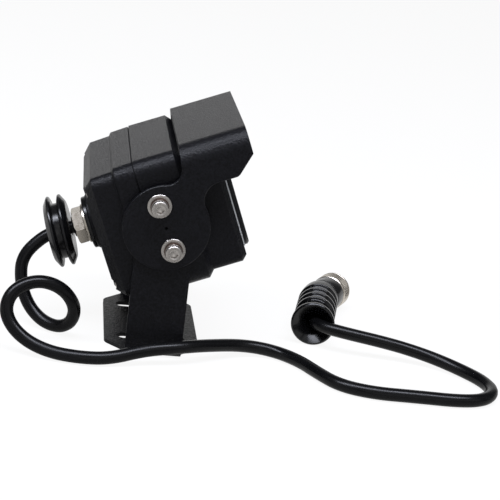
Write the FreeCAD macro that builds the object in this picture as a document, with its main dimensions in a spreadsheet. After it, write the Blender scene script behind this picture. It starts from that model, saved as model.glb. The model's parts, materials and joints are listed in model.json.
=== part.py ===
import FreeCAD, Part
"""Reversing camera for trucks and trailers, on a tilting U bracket.

Millimetres and degrees.  The lens faces -Y, +Z is up and X is the width.  The origin lies on the floor
under the middle of the bracket's base.  Everything that tilts with the camera is drawn about the tilt
axis and then placed on it; "ahead" is the distance from the tilt axis towards the lens.
"""
import math
import os

import Sketcher
from FreeCAD import Placement, Rotation, Vector

doc = FreeCAD.newDocument("backup_camera")

# ------------------------------------------------------------------ driving sizes
SIZES = (
    # the bracket
    ("pivot_height", 56.8), ("rest_pitch", 22.3), ("bracket_gauge", 1.6), ("bracket_bend", 2.0),
    ("base_length", 40.0), ("base_full_half", 25.0), ("base_taper_half", 34.0), ("base_corner", 5.0),
    ("arm_width", 23.6), ("arm_head_radius", 15.5), ("joint_gap", 0.1),
    ("base_slot_width", 6.0), ("base_slot_length", 11.0), ("base_slot_spread", 39.6),
    ("base_slot_pitch", 18.0), ("tilt_travel", 45.0),
    # the side screws, M4, and their washers
    ("screw_spread", 19.5), ("screw_shank", 4.0), ("screw_head", 7.0), ("screw_head_height", 4.0),
    ("hex_key", 3.0), ("hex_depth", 2.2), ("flat_washer_width", 10.0), ("flat_washer_height", 0.8),
    ("spring_washer_width", 7.6), ("spring_washer_height", 1.1), ("spring_split", 0.8), ("screw_grip", 6.0),
    ("thread_gap", 0.05), ("clearance", 0.2), ("head_chamfer", 0.4), ("tap_spare", 0.5), ("boss_floor", 2.0),
    # the housing
    ("body_width", 74.0), ("body_height", 56.8), ("body_corner", 6.0), ("wall", 2.4),
    ("front_reach", 28.2), ("rear_reach", 28.3), ("seam_back", 6.2), ("step_back", 15.1),
    ("step_in", 1.2), ("step_ramp", 1.0), ("draft", 2.6), ("rear_bevel", 4.2), ("gasket_gauge", 0.5),
    ("gasket_inset", 0.7), ("shoulder_ahead", 11.0), ("shoulder_run", 2.5), ("shoulder_drop", 2.8),
    ("front_bevel", 2.2), ("front_wall", 3.2), ("rear_cavity_inset", 6.6), ("cavity_corner", 3.0),
    ("seam_inset", 0.2), ("pad_edge", 0.6),
    # the case screws, M3
    ("case_screw_inset", 8.4), ("case_screw_shank", 3.0), ("case_screw_head", 5.5),
    ("case_screw_head_height", 2.6), ("case_screw_length", 30.0), ("case_key", 2.0), ("case_key_depth", 1.4),
    ("boss_wall", 2.1), ("column_length", 14.0), ("bore_length", 12.0), ("sink_spare", 0.8),
    # the window
    ("window_width", 54.0), ("window_height", 36.0), ("window_gauge", 1.8), ("window_corner", 4.0),
    ("window_lap", 2.4), ("opening_corner", 2.0), ("bezel_width", 61.0), ("bezel_height", 42.0),
    ("bezel_gauge", 2.0), ("bezel_corner", 6.0), ("bezel_hole_corner", 2.4), ("bezel_lap", 1.6),
    ("bezel_bevel", 0.9), ("seal_gauge", 0.5), ("seal_proud", 0.5),
    # the sun hood
    ("hood_gauge", 2.0), ("hood_top", 30.1), ("hood_rear", 14.2), ("hood_front", 42.0), ("hood_corner", 8.0),
    ("hood_front_low", 19.6), ("hood_skirt", 12.2), ("hood_skirt_front", 34.0), ("hood_rear_low", 12.9),
    ("ear_radius", 17.9), ("neck_front", 8.0), ("neck_rear", 6.0), ("hood_toe", 3.0), ("pivot_dimple", 1.2),
    ("hood_edge", 0.3),
    # the lens
    ("lens_radius", 6.0), ("lens_bore", 4.6), ("lens_rim", 7.8), ("lens_rim_gauge", 3.2),
    ("lens_front", 24.6), ("lens_length", 17.0), ("lens_web", 1.2), ("lens_bite", 0.01),
    ("glass_slip", 0.1), ("front_glass_sink", 1.6), ("rear_glass_sink", 0.6), ("glass_edge", 1.0),
    ("front_glass_rise", 1.2), ("rear_glass_rise", 0.6), ("crown_share", 0.9),
    ("holder_wall", 1.6), ("holder_length", 9.0), ("holder_base", 16.0), ("holder_base_gauge", 2.0),
    # the lamps and boards
    ("sensor_face", 6.0), ("sensor_side", 8.0), ("sensor_gauge", 1.0), ("sensor_board_side", 30.0),
    ("board_gauge", 1.2), ("board_corner", 1.0), ("board_gap", 2.3), ("lamp_board_face", 20.4),
    ("lamp_board_height", 38.0), ("lamp_radius", 2.5), ("lamp_length", 4.2), ("lamp_foot", 0.25),
    ("lamp_foot_gauge", 0.8), ("lamp_first", 11.4), ("lamp_pitch", 5.4), ("lamp_row_pitch", 5.8),
    ("eye_radius", 2.2), ("eye_drop", 12.4), ("eye_length", 2.0), ("main_board_face", -2.0),
    ("main_board_height", 30.0), ("post_z", 13.0), ("post_radius", 2.1), ("post_thread", 3.6),
    ("board_screw_shank", 2.0), ("board_screw_head", 3.6), ("board_screw_head_height", 1.4),
    ("board_screw_bite", 3.0), ("board_key", 1.3), ("board_key_depth", 0.8), ("header_width", 14.0),
    ("header_depth", 4.0), ("lead_plug_width", 12.0), ("lead_plug_height", 5.0), ("lead_plug_length", 6.0),
    ("package_corner", 0.4),
    # the cable gland
    ("pad_radius", 11.8), ("pad_gauge", 3.0), ("gland_thread", 12.0), ("gland_washer_width", 22.6),
    ("gland_washer_gauge", 1.7), ("gland_flange_width", 17.0), ("gland_flange_gauge", 1.2),
    ("gland_nut_across", 14.0), ("gland_nut_length", 4.4), ("gland_collar", 10.8),
    ("gland_collar_length", 3.6), ("gland_seal_width", 9.0), ("gland_seal_proud", 0.9),
    ("gland_seal_length", 3.6),
    ("locknut_across", 15.0), ("locknut_gauge", 3.0), ("gland_tail", 0.6), ("jacket_tail", 2.0),
    # the cord and its grommet
    ("cord_width", 5.5), ("wires_width", 3.4), ("cord_gap", 0.12), ("gland_lead", 6.4), ("mouth_lead", 3.5),
    ("grommet_width", 31.0), ("grommet_waist", 24.0), ("grommet_front", 3.5), ("grommet_groove", 2.6),
    ("grommet_rear", 3.5), ("grommet_slip", 0.6), ("grommet_near", 1.0), ("grommet_droop", 4.0),
    ("grommet_bevel", 1.2), ("grommet_lip", 0.6),
    # the plug's boot, which is bent a little behind its shell
    ("plug_x", -10.46), ("plug_y", -70.61), ("boot_heading", 12.5), ("nut_heading", 28.0),
    ("boot_bend_run", 4.0), ("boot_collar", 17.6), ("boot_width", 19.3), ("boot_mouth", 9.8),
    ("boot_mouth_depth", 4.6), ("mouth_step", 1.2), ("boot_rim", 2.4), ("boot_rim_bevel", 0.8),
    ("boot_flare", 2.0), ("boot_neck", 15.4), ("boot_length", 35.4), ("rib_count", 4), ("rib_pitch", 6.9),
    ("rib_width", 18.2), ("rib_gauge", 1.7), ("rib_start", 12.15), ("rib_bevel", 0.4), ("rib_root", 0.6),
    ("throat", 10.5),
    # the plug's shell, coupling nut, insert and pins
    ("shell_width", 16.0), ("shell_length", 11.2), ("shell_neck", 11.6), ("shell_neck_length", 7.0),
    ("nut_width", 16.4), ("nut_length", 8.6), ("nut_gap", 0.05), ("nut_lip", 1.6), ("nut_bore", 13.4),
    ("nut_bevel", 0.5), ("insert_width", 9.6), ("insert_length", 13.5), ("ring_gauge", 1.2),
    ("ring_slip", 0.2), ("pin_width", 1.2), ("pin_length", 5.0), ("pin_circle", 5.0), ("pin_count", 4),
)


class Size:
    """A number together with the spreadsheet expression that gives it."""

    def __init__(self, value, text):
        self.value = value
        self.text = text

    @staticmethod
    def of(other):
        return other if isinstance(other, Size) else Size(float(other), repr(float(other)))

    def _join(self, other, sign, value):
        return Size(value, f"({self.text} {sign} {other.text})")

    def __add__(self, other):
        other = Size.of(other)
        return self._join(other, "+", self.value + other.value)

    def __sub__(self, other):
        other = Size.of(other)
        return self._join(other, "-", self.value - other.value)

    def __rsub__(self, other):
        return Size.of(other) - self

    def __mul__(self, other):
        other = Size.of(other)
        return self._join(other, "*", self.value * other.value)

    def __truediv__(self, other):
        other = Size.of(other)
        return self._join(other, "/", self.value / other.value)

    def __neg__(self):
        return Size(-self.value, f"(-1 * {self.text})")

    __radd__ = __add__
    __rmul__ = __mul__

    def root(self):
        return Size(math.sqrt(self.value), f"sqrt({self.text})")

    def turned(self, function):
        """The sine, cosine or tangent of an angle in degrees."""
        return Size(getattr(math, function)(math.radians(self.value)), f"{function}({self.text} * 1 deg)")


class Sheet:
    """The spreadsheet, read as attributes: sheet.wall is the Size behind the alias wall."""

    def __init__(self, rows):
        self.cells = doc.addObject("Spreadsheet::Sheet", "Sizes")
        for row, (alias, number) in enumerate(rows, start=1):
            self.cells.set(f"A{row}", alias)
            self.cells.set(f"B{row}", str(number))
            self.cells.setAlias(f"B{row}", alias)
            setattr(self, alias, Size(float(number), f"Sizes.{alias}"))


S = Sheet(SIZES)
doc.recompute()
NODES = []


def bind(thing, prop, size):
    """Drive one property from the sheet."""
    size = Size.of(size)
    if "Sizes." in size.text:
        thing.setExpression(prop, size.text)
    elif "." not in prop:
        setattr(thing, prop, size.value)
    else:
        thing.setExpression(prop, size.text)


# ------------------------------------------------------------------ sketches and features
def new_body(label):
    """A PartDesign body that becomes the node of that name."""
    body = doc.addObject("PartDesign::Body", label)
    body.Label = label
    return body


def new_sketch(body, plane, offset=0):
    """A sketch on one of the body's own planes, moved along its normal."""
    sketch = body.newObject("Sketcher::SketchObject", body.Name + "_sketch")
    support = [part for part in body.Origin.OriginFeatures if part.Role == plane + "_Plane"][0]
    sketch.AttachmentSupport = (support, [""])
    sketch.MapMode = "FlatFace"
    bind(sketch, "AttachmentOffset.Base.z", offset)
    return sketch


def hold(sketch, kind, value, *where):
    """Add one dimension to a sketch, driven from the sheet."""
    value = Size.of(value)
    number = sketch.addConstraint(Sketcher.Constraint(kind, *where, value.value))
    if "Sizes." in value.text:
        sketch.setExpression(f"Constraints[{number}]", value.text)


def pin(sketch, line, end, across, up):
    """Hold one end of a line at a distance across and up from the sketch's origin."""
    hold(sketch, "DistanceX", across, -1, 1, line, end)
    hold(sketch, "DistanceY", up, -1, 1, line, end)


def outline(sketch, corners):
    """A closed outline of straight lines through corners, each one held by two dimensions."""
    corners = [(Size.of(across), Size.of(up)) for across, up in corners]
    first = sketch.GeometryCount
    spots = [Vector(across.value, up.value, 0) for across, up in corners]
    count = len(spots)
    for index in range(count):
        sketch.addGeometry(Part.LineSegment(spots[index], spots[(index + 1) % count]), False)
    for index in range(count):
        following = first + (index + 1) % count
        sketch.addConstraint(Sketcher.Constraint("Coincident", first + index, 2, following, 1))
    for index, (across, up) in enumerate(corners):
        pin(sketch, first + index, 1, across, up)


def circle(sketch, radius, across=0, up=0):
    """A circle held by its centre and radius."""
    radius, across, up = Size.of(radius), Size.of(across), Size.of(up)
    spot = Vector(across.value, up.value, 0)
    number = sketch.addGeometry(Part.Circle(spot, Vector(0, 0, 1), radius.value), False)
    hold(sketch, "Radius", radius, number)
    pin(sketch, number, 3, across, up)


def rounded_box(sketch, half_wide, half_high, corner, across=0, up=0):
    """A rectangle with round corners, held by its half sizes, its corner radius and its middle."""
    half_wide, half_high, corner = Size.of(half_wide), Size.of(half_high), Size.of(corner)
    across, up = Size.of(across), Size.of(up)
    first = sketch.GeometryCount
    w, h, r = half_wide.value, half_high.value, corner.value
    middle = Vector(across.value, up.value, 0)
    spots = ((w - r, -h), (w, -h + r), (w, h - r), (w - r, h),
             (-w + r, h), (-w, h - r), (-w, -h + r), (-w + r, -h))
    spots = [middle + Vector(a, b, 0) for a, b in spots]
    turns = ((w - r, -h + r), (w - r, h - r), (-w + r, h - r), (-w + r, -h + r))
    for index, (a, b) in enumerate(turns):
        ring = Part.Circle(middle + Vector(a, b, 0), Vector(0, 0, 1), r)
        start = math.radians(-90 + 90 * index)
        sketch.addGeometry(Part.ArcOfCircle(ring, start, start + math.pi / 2), False)
        sketch.addGeometry(Part.LineSegment(spots[(2 * index + 1) % 8], spots[(2 * index + 2) % 8]), False)
    for index in range(4):
        arc, line, following = first + 2 * index, first + 2 * index + 1, first + (2 * index + 2) % 8
        sketch.addConstraint(Sketcher.Constraint("Tangent", arc, 2, line, 1))
        sketch.addConstraint(Sketcher.Constraint("Tangent", line, 2, following, 1))
        upright = "Vertical" if index % 2 == 0 else "Horizontal"
        sketch.addConstraint(Sketcher.Constraint(upright, line))
        if index:
            sketch.addConstraint(Sketcher.Constraint("Equal", first, arc))
    hold(sketch, "Radius", corner, first)
    hold(sketch, "DistanceX", across + half_wide, -1, 1, first + 1, 1)
    hold(sketch, "DistanceX", across - half_wide, -1, 1, first + 5, 1)
    hold(sketch, "DistanceY", up + half_high, -1, 1, first + 3, 1)
    hold(sketch, "DistanceY", up - half_high, -1, 1, first + 7, 1)


def hexagon(sketch, across_flats, turn=0.0):
    """A hexagon held by its six corners."""
    across_flats = Size.of(across_flats)
    reach = across_flats / math.sqrt(3)
    angles = [math.radians(60 * index + turn) for index in range(6)]
    outline(sketch, [(reach * math.cos(angle), reach * math.sin(angle)) for angle in angles])


def feature(body, kind, sketch, length, backward=False, both=False, taper=None, through=False):
    """A pad or pocket of a sketch."""
    made = body.newObject("PartDesign::" + kind, body.Name + "_" + kind.lower())
    made.Profile = sketch
    if through:
        made.Type = "ThroughAll"
    else:
        bind(made, "Length", length)
    made.Reversed = backward
    made.Midplane = both
    if taper is not None:
        bind(made, "TaperAngle", -Size.of(taper))
    sketch.Visibility = False
    before = made.BaseFeature.Shape.Volume if made.BaseFeature else 0.0
    doc.recompute()
    change = made.Shape.Volume - before
    if (kind == "Pocket") == (change >= -1e-6):
        raise ValueError(f"{made.Name} in {body.Label} changed the volume by {change:.3f}")
    body.Tip = made
    return made


def pad(body, sketch, length, **options):
    return feature(body, "Pad", sketch, length, **options)


def pocket(body, sketch, length=0, **options):
    return feature(body, "Pocket", sketch, length, **options)


def turn(body, sketch, angle=None):
    """Revolve an outline about the upright axis of its own sketch, all the way round or by an angle."""
    made = body.newObject("PartDesign::Revolution", body.Name + "_turned")
    made.Profile = sketch
    made.ReferenceAxis = (sketch, ["V_Axis"])
    if angle is not None:
        bind(made, "Angle", angle)
    doc.recompute()
    body.Tip = made
    return made


def dress(body, kind, size, chosen):
    """Fillet or chamfer the edges of the body's tip that the test picks."""
    base = body.Tip
    doc.recompute()
    names = [f"Edge{number}" for number, edge in enumerate(base.Shape.Edges, start=1) if chosen(edge)]
    if not names:
        raise ValueError(f"no edge to dress on {body.Label}")
    made = body.newObject("PartDesign::" + kind, body.Name + "_" + kind.lower())
    made.Base = (base, names)
    bind(made, "Radius" if kind == "Fillet" else "Size", size)
    doc.recompute()
    body.Tip = made
    return made


def lies_at(axis, value, near=0.02):
    """A test that picks the edges whose every point has that coordinate."""
    low, high = axis.upper() + "Min", axis.upper() + "Max"
    value = Size.of(value).value

    def test(edge):
        box = edge.BoundBox
        return abs(getattr(box, low) - value) < near and abs(getattr(box, high) - value) < near
    return test


# ------------------------------------------------------------------ placing what is made
def keep(thing, group):
    """Put a finished piece into its group's place and list it as a node."""
    if group == "camera":
        thing.Placement = Placement(Vector(0, 0, S.pivot_height.value), Rotation(Vector(1, 0, 0), -1))
        bind(thing, "Placement.Base.z", S.pivot_height)
        bind(thing, "Placement.Rotation.Angle", -S.rest_pitch)
    elif group == "boot":
        thing.Placement = boot_place()
        bind(thing, "Placement.Base.x", S.plug_x)
        bind(thing, "Placement.Base.y", S.plug_y)
        bind(thing, "Placement.Base.z", plug_lie()[2])
    elif group == "plug":
        thing.Placement = shell_place()
    NODES.append(thing)
    return thing


def boot_bend():
    """How far the boot turns behind the shell, in degrees, and the radius of that bend."""
    angle = S.nut_heading - S.boot_heading
    return angle, S.boot_bend_run / (angle * (math.pi / 180))


def plug_lie():
    """The plug lies on its flared rim and on its nut: its dip's cosine and sine, and its mouth's height."""
    angle, radius = boot_bend()
    straight = S.shell_length + S.thread_gap + S.nut_length - S.nut_bevel
    run = S.boot_length - S.boot_rim + radius * angle.turned("sin") + straight * angle.turned("cos")
    drop = (S.boot_width - S.nut_width) / 2
    slant = (run * run + drop * drop).root()
    level, dip = run / slant, drop / slant
    return level, dip, S.boot_width / 2 * level + S.boot_rim * dip


def boot_direction():
    """The way the boot points, from its mouth to its shell."""
    level, dip, _ = plug_lie()
    heading = S.boot_heading
    return Vector(heading.turned("cos").value * level.value, -heading.turned("sin").value * level.value,
                  -dip.value)


def plug_mouth():
    """The middle of the plug's flared mouth."""
    return Vector(S.plug_x.value, S.plug_y.value, plug_lie()[2].value)


def boot_place():
    """The boot's own frame: +Z along it and +X level, towards the side that it bends to."""
    along = boot_direction()
    side = along.cross(UP).normalize()
    return Placement(plug_mouth(), Rotation(side, along.cross(side), along, "ZXY"))


def shell_place():
    """The frame at the end of the bend, for everything ahead of the boot."""
    angle, radius = boot_bend()
    shift = radius * (1 - angle.turned("cos"))
    reach = S.boot_length + radius * angle.turned("sin")
    return boot_place() * Placement(Vector(shift.value, 0, reach.value),
                                    Rotation(Vector(0, 1, 0), angle.value))


def copies(label, master, places, group):
    """A compound of links to one master body, each with its own offset and turn about an axis."""
    links = []
    for number, (offset, axis, angle) in enumerate(places, start=1):
        link = doc.addObject("App::Link", f"{label}_{number}")
        link.LinkedObject = master
        link.Placement = Placement(Vector(*[Size.of(part).value for part in offset]), Rotation(axis, angle))
        for name, part in zip("xyz", offset):
            bind(link, "Placement.Base." + name, part)
        links.append(link)
    group_of_copies = doc.addObject("Part::Compound", label)
    group_of_copies.Label = label
    group_of_copies.Links = links
    doc.recompute()
    return keep(group_of_copies, group)


UP = Vector(0, 0, 1)


# ------------------------------------------------------------------ the bracket
def make_bracket():
    """A strip bent to a U, with slots in its foot and two arc slots in the head of each arm."""
    inner = S.body_width / 2 + S.joint_gap
    outer = inner + S.bracket_gauge
    top = S.pivot_height
    body = new_body("bracket")
    profile = new_sketch(body, "XZ")
    outline(profile, [(-outer, 0), (outer, 0), (outer, top), (inner, top), (inner, S.bracket_gauge),
                      (-inner, S.bracket_gauge), (-inner, top), (-outer, top)])
    pad(body, profile, S.base_length, both=True)
    inside_bend = lies_at("Z", S.bracket_gauge)
    dress(body, "Fillet", S.bracket_bend, lambda edge: inside_bend(edge) and lies_at("X", inner)(edge)
          or inside_bend(edge) and lies_at("X", -inner)(edge))
    floor = lies_at("Z", 0)
    dress(body, "Fillet", S.bracket_bend + S.bracket_gauge,
          lambda edge: floor(edge) and (lies_at("X", outer)(edge) or lies_at("X", -outer)(edge)))
    trim_bracket_foot(body, outer)
    round_bracket_heads(body)
    slots = new_sketch(body, "XY", S.bracket_gauge)
    for side in (-1, 1):
        for end in (-1, 1):
            rounded_box(slots, S.base_slot_width / 2, S.base_slot_length / 2, S.base_slot_width / 2 - 0.001,
                        S.base_slot_spread * (side / 2), S.base_slot_pitch * (end / 2))
    pocket(body, slots, S.bracket_gauge)
    cut_arc_slots(body)
    keep(body, "bracket")


def trim_bracket_foot(body, outer):
    """Taper the foot's four corners down to the width of the arms."""
    half, arm = S.base_length / 2, S.arm_width / 2
    reach = outer + 1
    foot = new_sketch(body, "XY")
    for side in (-1, 1):
        for end in (-1, 1):
            outline(foot, [(S.base_full_half * side, half * end), (S.base_taper_half * side, arm * end),
                           (reach * side, arm * end), (reach * side, (half + 1) * end),
                           (S.base_full_half * side, (half + 1) * end)])
    pocket(body, foot, S.pivot_height * 3, both=True)
    full = lies_at("Y", half)
    back = lies_at("Y", -half)
    dress(body, "Fillet", S.base_corner,
          lambda edge: (full(edge) or back(edge)) and edge.BoundBox.ZLength > S.bracket_gauge.value / 2
          and edge.BoundBox.XLength < 0.01)


def round_bracket_heads(body):
    """Narrow the arms above the foot and round their heads about the tilt axis."""
    arm, head = S.arm_width / 2, S.arm_head_radius
    heads = new_sketch(body, "YZ")
    circle(heads, head, 0, S.pivot_height)
    pad(body, heads, S.body_width + 2 * (S.joint_gap + S.bracket_gauge), both=True)
    inside = new_sketch(body, "YZ")
    circle(inside, head + 1, 0, S.pivot_height)
    pocket(body, inside, S.body_width + 2 * S.joint_gap, both=True)


def cut_arc_slots(body):
    """Two slots round the tilt axis in each arm, for the side screws to swing in."""
    radius, half = S.screw_spread / 2, (S.screw_shank + S.clearance * 2) / 2
    sketch = new_sketch(body, "YZ")
    for middle in (90, 270):
        start, end = middle - S.tilt_travel.value, middle + S.tilt_travel.value
        arc_slot(sketch, radius, half, math.radians(start), math.radians(end))
    pocket(body, sketch, S.body_width * 2, both=True)


def arc_slot(sketch, radius, half, start, end):
    """A slot along an arc about the tilt axis, with round ends."""
    first = sketch.GeometryCount
    centre = Vector(0, S.pivot_height.value, 0)

    def spot(angle):
        return centre + Vector(math.cos(angle), math.sin(angle), 0) * radius.value

    outer = Part.Circle(centre, UP, radius.value + half.value)
    inner = Part.Circle(centre, UP, radius.value - half.value)
    sketch.addGeometry(Part.ArcOfCircle(outer, start, end), False)
    far_end, near_end = (Part.Circle(spot(angle), UP, half.value) for angle in (end, start))
    sketch.addGeometry(Part.ArcOfCircle(far_end, end, end + math.pi), False)
    sketch.addGeometry(Part.ArcOfCircle(inner, start, end), False)
    sketch.addGeometry(Part.ArcOfCircle(near_end, start + math.pi, start), False)
    outside, far, inside, near = range(first, first + 4)
    for one, one_end, other, other_end in ((outside, 2, far, 1), (far, 2, inside, 2),
                                           (inside, 1, near, 1), (near, 2, outside, 1)):
        sketch.addConstraint(Sketcher.Constraint("Tangent", one, one_end, other, other_end))
    pin(sketch, outside, 3, 0, S.pivot_height)
    sketch.addConstraint(Sketcher.Constraint("Coincident", outside, 3, inside, 3))
    hold(sketch, "Radius", radius + half, outside)
    hold(sketch, "Radius", radius - half, inside)
    for number, angle in ((far, end), (near, start)):
        hold(sketch, "DistanceY", S.pivot_height + radius * math.sin(angle), -1, 1, number, 3)


# ------------------------------------------------------------------ the housing
def case_screw_places():
    across, up = S.body_width / 2 - S.case_screw_inset, S.body_height / 2 - S.case_screw_inset
    return [(across * side, up * end) for side in (-1, 1) for end in (-1, 1)]


def sink_depth():
    """How deep the case screws' heads are sunk in the back."""
    return S.case_screw_head_height + S.sink_spare


def make_rear_housing():
    """The rear shell: two drafted steps, a bevelled back, four screw columns and the gland's pad."""
    body = new_body("rear_housing")
    seam = -S.seam_back
    wide, high = S.body_width / 2 - S.seam_inset, S.body_height / 2 - S.seam_inset
    lean = S.draft.turned("tan")
    first_run, second_run = S.step_back - S.seam_back, S.rear_reach - S.step_back
    shrink = first_run * lean + S.step_in
    big = new_sketch(body, "XZ", seam)
    rounded_box(big, wide, high, S.body_corner)
    pad(body, big, first_run, backward=True, taper=S.draft)
    dress(body, "Chamfer", S.step_ramp, lies_at("Y", S.step_back))
    small = new_sketch(body, "XZ", -S.step_back)
    rounded_box(small, wide - shrink, high - shrink, S.body_corner - S.step_in)
    pad(body, small, second_run, backward=True, taper=S.draft)
    dress(body, "Chamfer", S.rear_bevel, lies_at("Y", S.rear_reach))
    plate = new_sketch(body, "XZ", -S.rear_reach)
    circle(plate, S.pad_radius)
    pad(body, plate, S.pad_gauge, backward=True)
    dress(body, "Fillet", S.pad_edge, lies_at("Y", S.rear_reach + S.pad_gauge))
    hollow_depth = S.rear_reach - S.wall - S.seam_back
    cavity = new_sketch(body, "XZ", seam)
    inset = S.rear_cavity_inset
    rounded_box(cavity, S.body_width / 2 - inset, S.body_height / 2 - inset, S.cavity_corner)
    pocket(body, cavity, hollow_depth)
    columns = new_sketch(body, "XZ", seam)
    for across, up in case_screw_places():
        circle(columns, S.case_screw_shank / 2 + S.boss_wall, across, up)
    pad(body, columns, hollow_depth, backward=True)
    holes = new_sketch(body, "XZ", seam)
    for across, up in case_screw_places():
        circle(holes, S.case_screw_shank / 2 + S.clearance, across, up)
    circle(holes, S.gland_thread / 2 + S.thread_gap)
    pocket(body, holes, S.rear_reach * 2)
    sinks = new_sketch(body, "XZ", -S.rear_reach)
    for across, up in case_screw_places():
        circle(sinks, S.case_screw_head / 2 + S.clearance, across, up)
    pocket(body, sinks, sink_depth(), backward=True)
    keep(body, "camera")


def make_front_housing():
    """The front shell: a full collar, a shoulder down to a slimmer front, the window seat and the bosses."""
    body = new_body("front_housing")
    seam = S.gasket_gauge - S.seam_back
    wide, high = S.body_width / 2, S.body_height / 2
    slim_wide, slim_high = wide - S.shoulder_drop, high - S.shoulder_drop
    collar = new_sketch(body, "XZ", seam)
    rounded_box(collar, wide, high, S.body_corner)
    pad(body, collar, S.shoulder_ahead - seam)
    shoulder = new_sketch(body, "XZ", S.shoulder_ahead)
    rounded_box(shoulder, wide, high, S.body_corner)
    slope = math.degrees(math.atan(S.shoulder_drop.value / S.shoulder_run.value))
    pad(body, shoulder, S.shoulder_run, taper=slope)
    nose = new_sketch(body, "XZ", S.shoulder_ahead + S.shoulder_run)
    rounded_box(nose, slim_wide, slim_high, S.body_corner - S.shoulder_drop)
    pad(body, nose, S.front_reach - S.shoulder_ahead - S.shoulder_run)
    dress(body, "Chamfer", S.front_bevel, lies_at("Y", -S.front_reach))
    cavity = new_sketch(body, "XZ", seam)
    rounded_box(cavity, slim_wide - S.wall, slim_high - S.wall, S.cavity_corner)
    pocket(body, cavity, S.front_reach - S.front_wall - seam, backward=True)
    columns = new_sketch(body, "XZ", seam)
    for across, up in case_screw_places():
        circle(columns, S.case_screw_shank / 2 + S.boss_wall, across, up)
    pad(body, columns, S.column_length)
    posts = new_sketch(body, "XZ", S.lamp_board_face)
    for across, up in post_places():
        circle(posts, S.post_radius, across, up)
    pad(body, posts, S.front_reach - S.front_wall - S.lamp_board_face)
    add_side_bosses(body)
    seat = new_sketch(body, "XZ", S.front_reach)
    rounded_box(seat, S.window_width / 2 + S.clearance, S.window_height / 2 + S.clearance, S.window_corner)
    pocket(body, seat, S.window_gauge)
    opening = new_sketch(body, "XZ", S.front_reach)
    rounded_box(opening, S.window_width / 2 - S.window_lap, S.window_height / 2 - S.window_lap,
                S.opening_corner)
    pocket(body, opening, S.front_wall)
    bores = new_sketch(body, "XZ", seam)
    for across, up in case_screw_places():
        circle(bores, S.case_screw_shank / 2 + S.thread_gap, across, up)
    pocket(body, bores, S.bore_length, backward=True)
    threads = new_sketch(body, "XZ", S.lamp_board_face)
    for across, up in post_places():
        circle(threads, S.board_screw_shank / 2 + S.thread_gap, across, up)
    pocket(body, threads, S.post_thread, backward=True)
    keep(body, "camera")


def side_screw_places():
    return [S.screw_spread * (end / 2) for end in (-1, 1)]


def boss_depth():
    """How far the side screws' blind bosses stand in from the housing's sides."""
    return S.screw_grip + S.boss_floor


def add_side_bosses(body):
    """Blind bosses in both side walls, threaded for the side screws."""
    for side in (-1, 1):
        bosses = new_sketch(body, "YZ", (S.body_width / 2) * side)
        for up in side_screw_places():
            circle(bosses, S.screw_shank / 2 + S.boss_wall, 0, up)
        pad(body, bosses, boss_depth(), backward=side > 0)
        holes = new_sketch(body, "YZ", (S.body_width / 2) * side)
        for up in side_screw_places():
            circle(holes, S.screw_shank / 2 + S.thread_gap, 0, up)
        pocket(body, holes, S.screw_grip + S.tap_spare, backward=side < 0)


def make_gasket():
    """The rubber frame between the two shells, set back a little so that it shows as a dark line."""
    body = new_body("housing_gasket")
    frame = new_sketch(body, "XZ", -S.seam_back)
    inset = S.gasket_inset
    rounded_box(frame, S.body_width / 2 - inset, S.body_height / 2 - inset, S.body_corner - inset)
    slim = S.shoulder_drop + S.wall
    rounded_box(frame, S.body_width / 2 - slim, S.body_height / 2 - slim, S.cavity_corner)
    pad(body, frame, S.gasket_gauge)
    keep(body, "camera")


def make_window():
    """The glass, the pale seal in front of it and the bezel that clamps both."""
    glass = new_body("window_glass")
    pane = new_sketch(glass, "XZ", S.front_reach - S.window_gauge)
    rounded_box(pane, S.window_width / 2, S.window_height / 2, S.window_corner - S.clearance)
    pad(glass, pane, S.window_gauge)
    keep(glass, "camera")
    seal = new_body("window_seal")
    hole_wide, hole_high = S.window_width / 2 - S.bezel_lap, S.window_height / 2 - S.bezel_lap
    frame = new_sketch(seal, "XZ", S.front_reach)
    rounded_box(frame, S.bezel_width / 2 + S.seal_proud, S.bezel_height / 2 + S.seal_proud,
                S.bezel_corner + S.seal_proud)
    rounded_box(frame, hole_wide, hole_high, S.bezel_hole_corner)
    pad(seal, frame, S.seal_gauge)
    keep(seal, "camera")
    bezel = new_body("front_bezel")
    rim = new_sketch(bezel, "XZ", S.front_reach + S.seal_gauge)
    rounded_box(rim, S.bezel_width / 2, S.bezel_height / 2, S.bezel_corner)
    rounded_box(rim, hole_wide, hole_high, S.bezel_hole_corner)
    pad(bezel, rim, S.bezel_gauge)
    dress(bezel, "Chamfer", S.bezel_bevel, lies_at("Y", -(S.front_reach + S.seal_gauge + S.bezel_gauge)))
    keep(bezel, "camera")


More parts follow.
